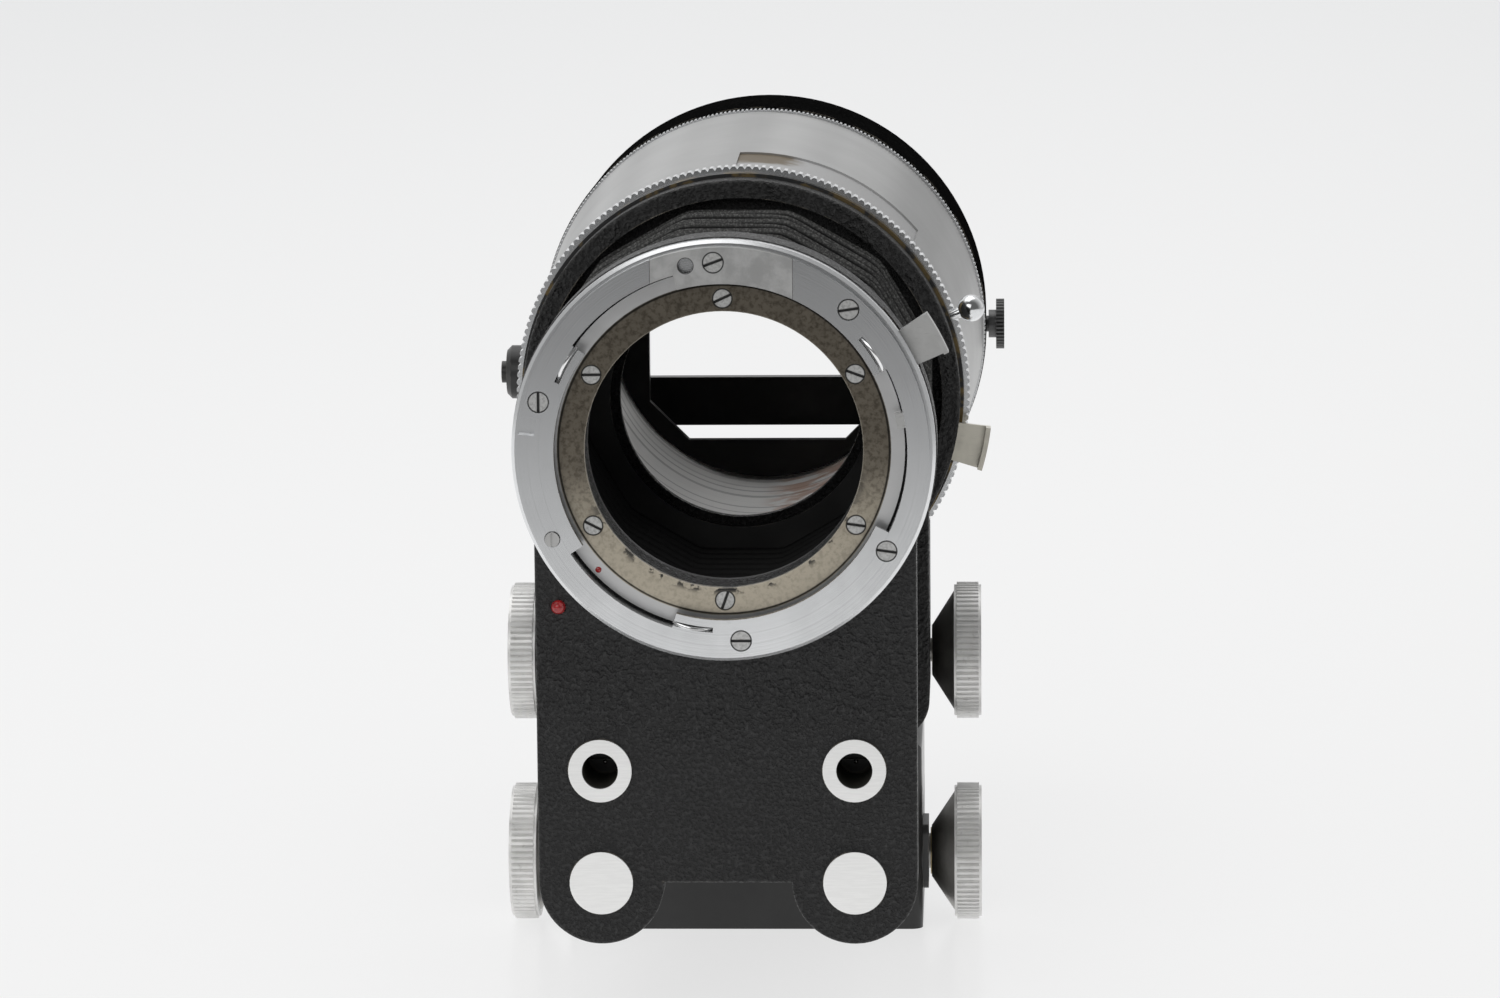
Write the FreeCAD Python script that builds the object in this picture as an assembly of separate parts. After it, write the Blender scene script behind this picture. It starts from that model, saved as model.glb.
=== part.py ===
import FreeCAD, Part
import math
import os

# Macro focusing bellows on twin rods and twin tubes. Millimetres.
# X is to the right, Y runs back along the optical axis, Z is up.
# The origin is the mouth of the tripod thread, in the middle of the carriage's base.

# Rails
axis_height = 91.0
rail_spacing = 40.0
rod_drop = 69.0
tube_drop = 51.0
rod_radius = 5.0
tube_radius = 5.0
tube_bore_radius = 2.85
socket_depth = 12.0
plug_length = 6.0
plug_radius = 2.5
plug_slot_width = 0.9
plug_slot_depth = 0.8
rail_proud = 0.4
tie_plate_thickness = 5.0
tie_plate_margin = 2.0
tie_plate_notch_width = 26.0
tie_plate_notch_depth = 9.0
tie_plate_corner = 3.0
tie_plate_top = 0.8
tie_plate_back_set = 4.0
tie_screw_radius = 1.5
tie_screw_head_radius = 2.8
tie_screw_head = 2.0
tie_screw_length = 9.0
tie_screw_slot = 0.8

# How far the carriage and the two standards travel
rail_travel = 50.0
rear_travel_in = 30.0
rear_travel_out = 60.0
end_stop_gap = 3.0

# Fits
running_gap = 0.05
seat_gap = 0.3
face_gap = 0.1

# Carriage
carriage_width = 60.0
carriage_length = 40.0
carriage_height = 32.2
carriage_corner = 2.0
carriage_shaft_y = -12.0
bush_wall = 1.5
bearing_flange = 1.0
bearing_flange_height = 11.0
bearing_flange_length = 12.0
bearing_length = 4.4
tripod_bush_radius = 4.4
tripod_thread_radius = 2.6
tripod_bush_depth = 10.0
tripod_thread_depth = 8.5

# Racks and pinions
module = 0.5
pressure_angle = math.radians(20.0)
rack_addendum = 0.35
pinion_addendum = 0.4
tooth_clearance = 0.12
tooth_width_loss = 0.12
rail_pinion_teeth = 24
rear_pinion_teeth = 12
pinion_width = 9.0
rack_depth_in_rod = 0.9
rack_depth_in_tube = 2.05
rail_shaft_radius = 3.0
rear_shaft_radius = 2.0
pinion_bore_gap = 0.45
shaft_end_inset = 2.2

# Knobs
knob_radius = 11.6
knob_rim_width = 4.6
knob_span = 80.0
knob_flutes = 72
knob_flute_depth = 0.45
knob_lip = 0.45
knob_cone_radius = 10.2
knob_face_recess_radius = 8.6
knob_face_recess = 0.7
knob_neck_length = 1.9
rail_knob_neck_radius = 4.0
rear_knob_neck_radius = 4.3
grub_radius = 0.8
grub_sink = 0.2

# Front standard
front_to_carriage = 54.5
plate_thickness = 9.0
plate_head_radius = 33.2
lobe_radius = 9.9
plate_edge = 0.5
plate_bore_radius = 22.0

# Lens bayonet
flange_thickness = 3.0
flange_radius = 33.0
flange_chamfer = 0.5
bayonet_thickness = 1.5
bayonet_radius = 32.0
bayonet_throat_radius = 26.3
bayonet_cutout_radius = 28.6
bayonet_screw_circle = 29.65
bayonet_screw_radius = 1.6
bayonet_screw_head = 1.0
bayonet_shank_radius = 0.65
bayonet_shank_length = 7.0
slot_width = 0.42
slot_depth = 0.5
insert_half_width = 11.0
insert_joint = 0.06
plain_hole_radius = 1.2
notch_width = 3.0
notch_depth = 3.6
notch_angle = 172.0
tongue_slot_radius = 27.9
tongue_slot_width = 0.8
tongue_slot_span = 12.8
cutout_spans = ((105.0, 144.0), (-26.0, 27.0), (213.5, 253.5))
bayonet_screw_angles = ((92.4, 20.0), (48.6, 8.0), (-31.4, -8.0), (-85.0, 0.0), (164.3, 90.0))
plain_hole_angle = 100.7
stop_block_angle = 10.0
stop_block_width = 2.4
lock_pin_angle = 206.8
lock_pin_radius = 1.15
lock_pin_circle = 29.85
lock_pin_proud = 0.6
lock_pin_travel = 1.0
throat_ring_radius = 28.2
throat_ring_bore = 21.7
throat_ring_thickness = 1.0
throat_screw_circle = 23.7
throat_screw_radius = 1.5
throat_screw_length = 5.0
throat_screw_slots = ((90.0, 25.0), (30.0, -20.0), (-30.0, -8.0), (-90.0, 70.0), (210.0, -27.0), (150.0, 0.0))
bead_radius = 1.15
bead_x = -26.2
bead_drop = 24.9

# Release levers, front and rear
lever_thickness = 1.0
lever_inner_radius = 29.6
lever_outer_radius = 38.2
lever_lip = 0.8
lever_lip_rise = 2.2
lever_start = 23.5
lever_end = 34.0
lever_travel = 6.0
lever_slot_depth = 1.3
rear_lever_start = -17.0
rear_lever_end = -7.0
rear_lever_inner_radius = 34.2
rear_lever_outer_radius = 42.0
rear_lever_setback = 2.0
lever_slot_margin = 1.2
leaf_span = 18.0
leaf_thickness = 0.4
leaf_width = 0.9

# Bellows
bellows_span = 52.5
bellows_sides = 12
bellows_peak_radius = 33.0
bellows_valley_radius = 27.6
bellows_wall = 1.6
bellows_pleats = 10
bellows_frame_thickness = 1.4
bellows_frame_radius = 30.0

# Rear standard
rim_radius = 36.6
rim_recess_radius = 33.6
rim_recess_depth = 4.0
rear_wall = 2.0
rear_aperture_radius = 20.5
rear_body_half_width = 31.3
rear_body_drop = 58.2
rear_body_length = 20.0
rear_body_corner = 7.0
rear_edge = 0.5
rear_shaft_setback = 8.0
spigot_radius = 33.0
spigot_bore_radius = 30.5
spigot_length = 10.0
retainer_length = 2.0
retainer_radius = 34.2

# Clamp ring with its ball lever
clamp_thickness = 1.8
clamp_radius = 37.2
ball_angle = 20.4
ball_radius = 2.25
ball_reach = 41.0
ball_neck_radius = 0.75
ball_neck_end_radius = 1.15

# Camera barrel
grip_ring_length = 4.0
grip_ring_radius = 38.2
grip_ring_seat_radius = 35.5
grip_teeth = 190
grip_tooth_depth = 0.5
barrel_length = 86.0
barrel_front_radius = 37.4
barrel_rear_radius = 40.6
barrel_bore_radius = 34.5
barrel_recess_depth = 0.35
barrel_recess_length = 24.0
barrel_recess_start = 40.0
barrel_recess_end = 92.0
sleeve_bore_radius = 29.0
sleeve_wall = 1.5
sleeve_front_land = 6.0
sleeve_rear_land = 14.0
end_spigot_radius = 36.0
end_spigot_length = 8.0
lock_ring_length = 3.8
lock_ring_radius = 41.0
lock_ring_teeth = 320
lock_ring_tooth_depth = 0.3
housing_length = 32.0
housing_radius = 41.2
housing_edge = 0.8
window_plate_depth = 9.0
window_plate_thickness = 2.5
window_size = 44.0
window_chamfer = 7.3
gate_height = 24.0
gate_bar_height = 9.2
gate_bar_thickness = 3.0
gate_bar_inset = 5.0

# Small screws on the barrel
small_knob_radius = 4.65
small_knob_thickness = 3.5
small_knob_chamfer = 0.8
small_knob_button_radius = 1.9
small_knob_button = 1.0
small_knob_setback = 26.0
small_stem_radius = 1.5
thumb_screw_thickness = 1.5
thumb_screw_collar_radius = 2.6
thumb_screw_collar = 1.4
thumb_screw_setback = 7.0
small_screw_stand_off = 0.4
thumb_screw_teeth = 40
thumb_screw_tooth_depth = 0.25

# Positions along Y, front to back
plate_back_y = -carriage_length / 2 - front_to_carriage
plate_front_y = plate_back_y - plate_thickness
flange_front_y = plate_front_y - flange_thickness
face_y = flange_front_y - bayonet_thickness
rim_front_y = plate_back_y + bellows_span
recess_floor_y = rim_front_y + rim_recess_depth
rim_back_y = recess_floor_y + rear_wall
rear_body_back_y = rim_back_y + rear_body_length
rear_shaft_y = rim_back_y + rear_shaft_setback
clamp_front_y = rim_back_y + face_gap
clamp_back_y = clamp_front_y + clamp_thickness
grip_front_y = clamp_back_y + face_gap
barrel_front_y = grip_front_y + grip_ring_length
barrel_back_y = barrel_front_y + barrel_length
spigot_end_y = rim_back_y + spigot_length
retainer_end_y = spigot_end_y + retainer_length
sleeve_front_y = retainer_end_y + seat_gap
lock_ring_front_y = barrel_back_y + face_gap
housing_front_y = lock_ring_front_y + lock_ring_length + face_gap
housing_back_y = housing_front_y + housing_length
window_front_y = housing_front_y + window_plate_depth
window_back_y = window_front_y + window_plate_thickness
gate_back_y = housing_back_y - gate_bar_inset
tie_front_y = carriage_length / 2 + rail_travel + end_stop_gap + tie_plate_back_set
tie_back_y = tie_front_y + tie_plate_thickness

# Heights above the base
rod_z = axis_height - rod_drop
tube_z = axis_height - tube_drop
rail_x = rail_spacing / 2
bush_radius = rod_radius + running_gap + bush_wall
tube_bush_radius = tube_radius + running_gap + bush_wall

# Racks and pinions, worked out from the module
rail_pitch_radius = module * rail_pinion_teeth / 2
rear_pitch_radius = module * rear_pinion_teeth / 2
rail_rack_z = rod_z - rod_radius + rack_depth_in_rod
rear_rack_z = tube_z + tube_radius - rack_depth_in_tube
rail_shaft_z = rail_rack_z - rail_pitch_radius
rear_shaft_z = rear_rack_z + rear_pitch_radius
rail_shaft_bore = rail_pitch_radius + pinion_addendum + pinion_bore_gap
rear_shaft_bore = rear_pitch_radius + pinion_addendum + pinion_bore_gap
knob_outer_x = knob_span / 2
knob_inner_x = knob_outer_x - knob_rim_width


def vec(x, y, z):
    return FreeCAD.Vector(x, y, z)


def box(x0, x1, y0, y1, z0, z1):
    return Part.makeBox(x1 - x0, y1 - y0, z1 - z0, vec(x0, y0, z0))


def rod_y(radius, y0, y1, x=0.0, z=axis_height):
    return Part.makeCylinder(radius, y1 - y0, vec(x, y0, z), vec(0, 1, 0))


def ring_y(outer, inner, y0, y1, x=0.0, z=axis_height):
    return rod_y(outer, y0, y1, x, z).cut(rod_y(inner, y0, y1, x, z))


def rod_x(radius, x0, x1, y, z):
    return Part.makeCylinder(radius, x1 - x0, vec(x0, y, z), vec(1, 0, 0))


def cone_y(radius0, radius1, y0, y1):
    return Part.makeCone(radius0, radius1, y1 - y0, vec(0, y0, axis_height), vec(0, 1, 0))


def polar(radius, degrees):
    """A point of the face plane, seen from the front, counter-clockwise from the right."""
    angle = math.radians(degrees)
    return radius * math.cos(angle), axis_height + radius * math.sin(angle)


def prism(points, along):
    """A closed outline of points pushed along a vector."""
    wire = Part.makePolygon(list(points) + [points[0]])
    return Part.Face(wire).extrude(along)


def sector(inner, outer, start, end, y0, y1):
    """A ring sector round the optical axis, between two angles in degrees."""
    middle = (start + end) / 2
    corners = []
    for radius, angle in ((inner, start), (outer, start), (outer, middle), (outer, end), (inner, end)):
        x, z = polar(radius, angle)
        corners.append(vec(x, y0, z))
    x, z = polar(inner, middle)
    corners.append(vec(x, y0, z))
    edges = [
        Part.makeLine(corners[0], corners[1]),
        Part.Arc(corners[1], corners[2], corners[3]).toShape(),
        Part.makeLine(corners[3], corners[4]),
        Part.Arc(corners[4], corners[5], corners[0]).toShape(),
    ]
    return Part.Face(Part.Wire(edges)).extrude(vec(0, y1 - y0, 0))


def join(shapes):
    whole = shapes[0]
    for shape in shapes[1:]:
        whole = whole.fuse(shape)
    return whole.removeSplitter()


def cut_all(shape, tools):
    for tool in tools:
        shape = shape.cut(tool)
    return shape


def edges_where(shape, test):
    return [edge for edge in shape.Edges if test(edge)]


def runs_along(edge, axis):
    """True for a straight edge parallel to an axis, 0 for X, 1 for Y and 2 for Z."""
    if edge.Curve.TypeId != "Part::GeomLine":
        return False
    step = edge.Vertexes[-1].Point - edge.Vertexes[0].Point
    return abs(abs(step[axis]) - step.Length) < 1e-6


def lies_in_y(edge, y):
    return edge.BoundBox.YMax - edge.BoundBox.YMin < 1e-6 and abs(edge.BoundBox.YMin - y) < 1e-6


def slotted_screw(x, z, top_y, head_radius, head, shank_radius, length, slot_angle):
    """A screw whose slotted head faces the front."""
    screw = rod_y(head_radius, top_y, top_y + head, x, z)
    screw = screw.fuse(rod_y(shank_radius, top_y + head, top_y + length, x, z))
    slot = box(x - head_radius, x + head_radius, top_y, top_y + slot_depth, z - slot_width / 2, z + slot_width / 2)
    slot.rotate(vec(x, top_y, z), vec(0, 1, 0), -slot_angle)
    return screw.cut(slot)


def save(name, shape):
    shape.exportStep("parts/" + name + ".step")


def mirrored(shape):
    return shape.mirror(vec(0, 0, 0), vec(1, 0, 0))


def toothed_outline(tip, root, teeth):
    """Corners of a ring of straight V flutes, in its own plane."""
    points = []
    for index in range(teeth):
        for share, radius in ((0.0, root), (0.3, tip), (0.7, tip)):
            angle = 2 * math.pi * (index + share) / teeth
            points.append((radius * math.cos(angle), radius * math.sin(angle)))
    return points


def fluted_ring_y(tip, root, teeth, bore, y0, y1):
    outline = [vec(u, y0, axis_height + v) for u, v in toothed_outline(tip, root, teeth)]
    return prism(outline, vec(0, y1 - y0, 0)).cut(rod_y(bore, y0, y1))


def involute(angle):
    return math.tan(angle) - angle


def pinion_x(teeth, x0, x1, y, z, tooth_direction):
    """An involute pinion along X with one tooth pointing up (1) or down (-1)."""
    pitch = module * teeth / 2
    base = pitch * math.cos(pressure_angle)
    tip = pitch + pinion_addendum
    root = pitch - rack_addendum - tooth_clearance
    half_tooth = (math.pi * module / 2 - tooth_width_loss) / (2 * pitch)
    flank = [(root, half_tooth + involute(pressure_angle))]
    for step in range(5):
        radius = base + (tip - base) * step / 4
        turn = involute(math.acos(base / radius))
        flank.append((radius, half_tooth + involute(pressure_angle) - turn))
    points = []
    for index in range(teeth):
        centre = 2 * math.pi * index / teeth + tooth_direction * math.pi / 2
        for radius, half in flank:
            points.append((radius, centre - half))
        for radius, half in reversed(flank):
            points.append((radius, centre + half))
    outline = [vec(x0, y + radius * math.cos(a), z + radius * math.sin(a)) for radius, a in points]
    return prism(outline, vec(x1 - x0, 0, 0))


def rack_cutter(x, pitch_z, facing, centre_y, reach_in, reach_out, radius):
    """What is milled off a rail to leave a rack; facing is 1 for a rack on top, -1 below."""
    pitch = math.pi * module
    half_gap = (pitch / 2 + tooth_width_loss) / 2
    slope = math.tan(pressure_angle)
    tip_z = pitch_z + facing * rack_addendum
    root_z = pitch_z - facing * (pinion_addendum + tooth_clearance)
    tip_half = half_gap + rack_addendum * slope
    root_half = half_gap - (pinion_addendum + tooth_clearance) * slope
    run_out = pinion_addendum + rail_pitch_radius
    first = -math.ceil((reach_in + run_out) / pitch)
    last = math.ceil((reach_out + run_out) / pitch)
    points = [(centre_y + first * pitch - pitch, tip_z)]
    for index in range(first, last + 1):
        y = centre_y + index * pitch
        points += [(y - tip_half, tip_z), (y - root_half, root_z), (y + root_half, root_z), (y + tip_half, tip_z)]
    points.append((centre_y + last * pitch + pitch, tip_z))
    clear_z = pitch_z + facing * 2 * radius
    points += [(points[-1][0], clear_z), (points[0][0], clear_z)]
    outline = [vec(x - radius - 1, y, z) for y, z in points]
    return prism(outline, vec(2 * radius + 2, 0, 0))


def carriage_block():
    half = carriage_width / 2
    block = box(-half, half, -carriage_length / 2, carriage_length / 2, 0, carriage_height)
    rounded = edges_where(block, lambda e: runs_along(e, 2) or (runs_along(e, 1) and e.BoundBox.ZMin > 1))
    block = block.makeFillet(carriage_corner, rounded)
    tools = [rod_y(bush_radius, -carriage_length, carriage_length, side * rail_x, rod_z) for side in (-1, 1)]
    tools.append(rod_x(rail_shaft_bore, -half, half, carriage_shaft_y, rail_shaft_z))
    tools.append(Part.makeCylinder(tripod_bush_radius, tripod_bush_depth))
    return cut_all(block, tools)


def rail_bush(side):
    bush = ring_y(bush_radius, rod_radius + running_gap, -carriage_length / 2, carriage_length / 2,
                  side * rail_x, rod_z)
    return bush.cut(rod_x(rail_shaft_bore, -carriage_width, carriage_width, carriage_shaft_y, rail_shaft_z))


def rail_bearing():
    """The right bearing of the carriage's pinion shaft, with its square flange outside."""
    face = carriage_width / 2
    plug = rod_x(rail_shaft_bore, face - bearing_length, face, carriage_shaft_y, rail_shaft_z)
    flange = box(face, face + bearing_flange,
                 carriage_shaft_y - bearing_flange_length / 2, carriage_shaft_y + bearing_flange_length / 2,
                 rail_shaft_z - bearing_flange_height / 2, rail_shaft_z + bearing_flange_height / 2)
    flange = flange.makeFillet(1.5, edges_where(flange, lambda e: runs_along(e, 0)))
    bore = rod_x(rail_shaft_radius + running_gap, 0, carriage_width, carriage_shaft_y, rail_shaft_z)
    return plug.fuse(flange).cut(bore)


def tripod_bush():
    bush = Part.makeCylinder(tripod_bush_radius, tripod_bush_depth)
    return bush.cut(Part.makeCylinder(tripod_thread_radius, tripod_thread_depth))


def pinion_shaft(teeth, shaft_radius, y, z, tooth_direction):
    """A shaft across both rails, with a toothed length over each of them."""
    end = knob_outer_x - shaft_end_inset
    pieces = [rod_x(shaft_radius, -end, end, y, z)]
    for side in (-1, 1):
        centre = side * rail_x
        pieces.append(pinion_x(teeth, centre - pinion_width / 2, centre + pinion_width / 2, y, z, tooth_direction))
    return join(pieces)


def focus_knob(neck_x, neck_radius, shaft_radius, y, z):
    """The right knob of a pair: fluted rim, coned inner side and a neck on the shaft."""
    outline = [
        (neck_x, shaft_radius),
        (neck_x, neck_radius),
        (neck_x + knob_neck_length, neck_radius),
        (knob_inner_x, knob_cone_radius),
        (knob_outer_x, knob_cone_radius),
        (knob_outer_x, knob_face_recess_radius),
        (knob_outer_x - knob_face_recess, knob_face_recess_radius),
        (knob_outer_x - knob_face_recess, 0),
        (knob_outer_x - shaft_end_inset, 0),
        (knob_outer_x - shaft_end_inset, shaft_radius),
    ]
    wire = Part.makePolygon([vec(x, y, z + r) for x, r in outline + outline[:1]])
    hub = Part.Face(wire).revolve(vec(0, y, z), vec(1, 0, 0), 360)
    root = knob_radius - knob_flute_depth
    outline = toothed_outline(knob_radius, root, knob_flutes)
    teeth = [vec(knob_inner_x + knob_lip, y + u, z + v) for u, v in outline]
    flutes = prism(teeth, vec(knob_rim_width - 2 * knob_lip, 0, 0))
    rim = rod_x(root, knob_inner_x, knob_outer_x, y, z).fuse(flutes)
    rim = rim.cut(rod_x(knob_cone_radius, knob_inner_x, knob_outer_x, y, z))
    grub = grub_screw(neck_x, neck_radius + 1, 0, y, z)
    return join([hub, rim]).cut(grub)


def grub_screw(neck_x, top_radius, foot_radius, y, z):
    """The set screw in a knob's neck, from one distance above the shaft's axis to another."""
    x = neck_x + knob_neck_length / 2
    return Part.makeCylinder(grub_radius, top_radius - foot_radius, vec(x, y, z + foot_radius), vec(0, 0, 1))


def rail_rod(side):
    rod = rod_y(rod_radius, plate_front_y - rail_proud, tie_front_y, side * rail_x, rod_z)
    rack = rack_cutter(side * rail_x, rail_rack_z, -1, carriage_shaft_y, rail_travel, rail_travel, rod_radius)
    return cut_all(rod, [rack, tie_screw_hole(side * rail_x, rod_z)])


def guide_tube(side):
    x = side * rail_x
    tube = rod_y(tube_radius, plate_front_y - rail_proud, tie_front_y, x, tube_z)
    rack = rack_cutter(x, rear_rack_z, 1, rear_shaft_y, rear_travel_in, rear_travel_out, tube_radius)
    socket_floor = plate_front_y + socket_depth
    socket = rod_y(tube_bore_radius, plate_front_y - rail_proud, socket_floor, x, tube_z)
    seat = rod_y(plug_radius, socket_floor, socket_floor + plug_length, x, tube_z)
    return cut_all(tube, [rack, socket, seat, tie_screw_hole(x, tube_z)])


def tube_plug(side):
    """The slotted plug at the bottom of a tube's open socket."""
    front = plate_front_y + socket_depth
    plug = rod_y(plug_radius, front, front + plug_length, side * rail_x, tube_z)
    slot = box(side * rail_x - plug_radius, side * rail_x + plug_radius, front, front + plug_slot_depth,
               tube_z - plug_slot_width / 2, tube_z + plug_slot_width / 2)
    return plug.cut(slot)


def tie_screw_hole(x, z):
    return rod_y(tie_screw_radius, tie_front_y + tie_plate_thickness - tie_screw_length, tie_back_y, x, z)


def tie_screw(x, z):
    screw = rod_y(tie_screw_head_radius, tie_back_y, tie_back_y + tie_screw_head, x, z)
    slot = box(x - tie_screw_head_radius, x + tie_screw_head_radius,
               tie_back_y + tie_screw_head - tie_screw_slot, tie_back_y + tie_screw_head,
               z - tie_screw_slot / 2, z + tie_screw_slot / 2)
    return screw.fuse(tie_screw_hole(x, z)).cut(slot)


def rail_ends():
    return [(side * rail_x, z) for side in (-1, 1) for z in (rod_z, tube_z)]


def tie_plate():
    """The plate that joins the far ends of the rods and tubes."""
    reach = max(rod_radius, tube_radius) + tie_plate_margin
    top = tube_z + tube_radius + tie_plate_top
    plate = box(-rail_x - reach, rail_x + reach, tie_front_y, tie_back_y, rod_z - reach, top)
    plate = plate.makeFillet(tie_plate_corner, edges_where(plate, lambda e: runs_along(e, 1)))
    half = tie_plate_notch_width / 2
    notch = box(-half, half, tie_front_y, tie_back_y, top - tie_plate_notch_depth, top)
    return cut_all(plate, [notch] + [rod_y(tie_screw_radius, tie_front_y, tie_back_y, x, z) for x, z in rail_ends()])


def front_plate():
    half = rail_x + lobe_radius
    pieces = [
        rod_y(plate_head_radius, plate_front_y, plate_back_y),
        box(-half, half, plate_front_y, plate_back_y, rod_z, axis_height),
    ]
    for side in (-1, 1):
        pieces.append(rod_y(lobe_radius, plate_front_y, plate_back_y, side * rail_x, rod_z))
    plate = join(pieces)
    rim = edges_where(plate, lambda e: lies_in_y(e, plate_front_y) or lies_in_y(e, plate_back_y))
    plate = plate.makeFillet(plate_edge, rim)
    tools = [rod_y(plate_bore_radius, plate_front_y, plate_back_y)]
    for side in (-1, 1):
        tools.append(rod_y(rod_radius, plate_front_y, plate_back_y, side * rail_x, rod_z))
        tools.append(rod_y(tube_radius, plate_front_y, plate_back_y, side * rail_x, tube_z))
    tools += [throat_screw(angle, slot) for angle, slot in throat_screw_slots]
    tools += [bayonet_shank(angle) for angle, slot in bayonet_screw_angles]
    tools.append(lock_pin_bore(plate_front_y + lock_pin_travel + 2.0))
    tools.append(lever_slot(lever_start, lever_end + lever_travel, lever_inner_radius, plate_front_y))
    tools.append(leaf_spring(lever_end + lever_travel, lever_inner_radius, plate_front_y))
    return cut_all(plate, tools)


def bayonet_shank(angle):
    x, z = polar(bayonet_screw_circle, angle)
    return rod_y(bayonet_shank_radius, face_y, face_y + bayonet_shank_length, x, z)


def lock_pin_bore(end_y):
    x, z = polar(lock_pin_circle, lock_pin_angle)
    return rod_y(lock_pin_radius + running_gap, face_y, end_y, x, z)


def lock_pin():
    x, z = polar(lock_pin_circle, lock_pin_angle)
    pin = rod_y(lock_pin_radius, face_y - lock_pin_proud, plate_front_y + 1.5, x, z)
    top = face_y - lock_pin_proud
    slot = box(x - slot_width / 2, x + slot_width / 2, top, top + slot_depth, z - lock_pin_radius, z + lock_pin_radius)
    return pin.cut(slot)


def mount_flange():
    """The chromed ring that carries the bayonet ring on the front plate."""
    flange = ring_y(flange_radius, bayonet_cutout_radius, flange_front_y, plate_front_y)
    outer = edges_where(flange, lambda e: lies_in_y(e, flange_front_y) and e.Curve.Radius > bayonet_radius)
    flange = flange.makeChamfer(flange_chamfer, outer)
    shanks = [bayonet_shank(angle) for angle, slot in bayonet_screw_angles]
    return cut_all(flange, shanks + [lock_pin_bore(plate_front_y)])


def bayonet_blank():
    """The whole lens face: throat, three cut-outs, tongue slots, screw seats and outer notch."""
    blank = ring_y(bayonet_radius, bayonet_throat_radius, face_y, flange_front_y)
    tools = []
    for start, end in cutout_spans:
        tools.append(sector(bayonet_throat_radius - 1, bayonet_cutout_radius, start, end, face_y, flange_front_y))
        inner = tongue_slot_radius - tongue_slot_width / 2
        outer = tongue_slot_radius + tongue_slot_width / 2
        tools.append(sector(inner, outer, end - 1, end + tongue_slot_span, face_y, flange_front_y))
    for angle, slot in bayonet_screw_angles:
        x, z = polar(bayonet_screw_circle, angle)
        tools.append(rod_y(bayonet_screw_radius, face_y, face_y + bayonet_screw_head, x, z))
        tools.append(bayonet_shank(angle))
    x, z = polar(bayonet_screw_circle, plain_hole_angle)
    tools.append(rod_y(plain_hole_radius, face_y, flange_front_y, x, z))
    notch_inner = bayonet_radius - notch_depth
    span = math.degrees(notch_width / bayonet_radius)
    notch = sector(notch_inner + 1.0, bayonet_radius + 1, notch_angle - span / 2, notch_angle + span / 2,
                   face_y, flange_front_y)
    tools += [notch, lock_pin_bore(flange_front_y)]
    return cut_all(blank, tools)


def top_slice(half_width):
    """The strip above the throat where the bayonet ring is split."""
    return box(-half_width, half_width, face_y, flange_front_y, axis_height, axis_height + bayonet_radius + 1)


def bayonet_ring():
    return bayonet_blank().cut(top_slice(insert_half_width + insert_joint))


def bayonet_insert():
    return bayonet_blank().common(top_slice(insert_half_width))


def bayonet_screws():
    screws = []
    for angle, slot in bayonet_screw_angles:
        x, z = polar(bayonet_screw_circle, angle)
        screws.append(slotted_screw(x, z, face_y, bayonet_screw_radius, bayonet_screw_head,
                                    bayonet_shank_radius, bayonet_shank_length, slot))
    return Part.makeCompound(screws)


def stop_block():
    """The small bright stop that a lens turns against, in the right cut-out."""
    span = math.degrees(stop_block_width / bayonet_cutout_radius)
    start = stop_block_angle - span / 2
    return sector(bayonet_cutout_radius - 1.3, bayonet_cutout_radius, start, start + span,
                  flange_front_y - 0.9, plate_front_y - throat_ring_thickness)


def throat_screw(angle, slot):
    x, z = polar(throat_screw_circle, angle)
    top = plate_front_y - throat_ring_thickness
    return slotted_screw(x, z, top, throat_screw_radius, throat_ring_thickness * 0.7,
                         throat_screw_radius * 0.5, throat_screw_length, slot)


def throat_ring():
    top = plate_front_y - throat_ring_thickness
    ring = ring_y(throat_ring_radius, throat_ring_bore, top, plate_front_y)
    tools = []
    for angle, slot in throat_screw_slots:
        x, z = polar(throat_screw_circle, angle)
        tools.append(rod_y(throat_screw_radius, top, top + throat_ring_thickness * 0.7, x, z))
        tools.append(rod_y(throat_screw_radius * 0.5, top, plate_front_y, x, z))
    return cut_all(ring, tools)


def throat_screws():
    return Part.makeCompound([throat_screw(angle, slot) for angle, slot in throat_screw_slots])


def index_bead():
    bead = Part.makeSphere(bead_radius, vec(bead_x, plate_front_y, axis_height - bead_drop))
    front = box(bead_x - 2 * bead_radius, bead_x + 2 * bead_radius, plate_front_y - 2 * bead_radius, plate_front_y,
                axis_height - bead_drop - 2 * bead_radius, axis_height - bead_drop + 2 * bead_radius)
    return bead.common(front)


def lever_slot(start, end, inner, front_y):
    """The shallow slot in which a release lever swings, open outwards."""
    return sector(inner - lever_slot_margin, inner + 12, start - lever_slot_margin, end + lever_slot_margin,
                  front_y, front_y + lever_slot_depth)


def release_lever(start, end, inner, outer, front_y):
    """A flat arm whose outer end is bent forward as a finger lip."""
    arm_y = front_y + (lever_slot_depth - lever_thickness) / 2
    arm = sector(inner, outer, start, end, arm_y, arm_y + lever_thickness)
    lip = sector(outer - lever_lip, outer, start, end, arm_y - lever_lip_rise, arm_y + lever_thickness)
    return join([arm, lip])


def leaf_spring(edge, inner, front_y):
    """The leaf that brings a release lever back, in a groove past the end of its slot."""
    middle = inner + 1.2
    return sector(middle - leaf_thickness / 2, middle + leaf_thickness / 2, edge + lever_slot_margin * 0.5,
                  edge + leaf_span, front_y, front_y + leaf_width)


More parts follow.
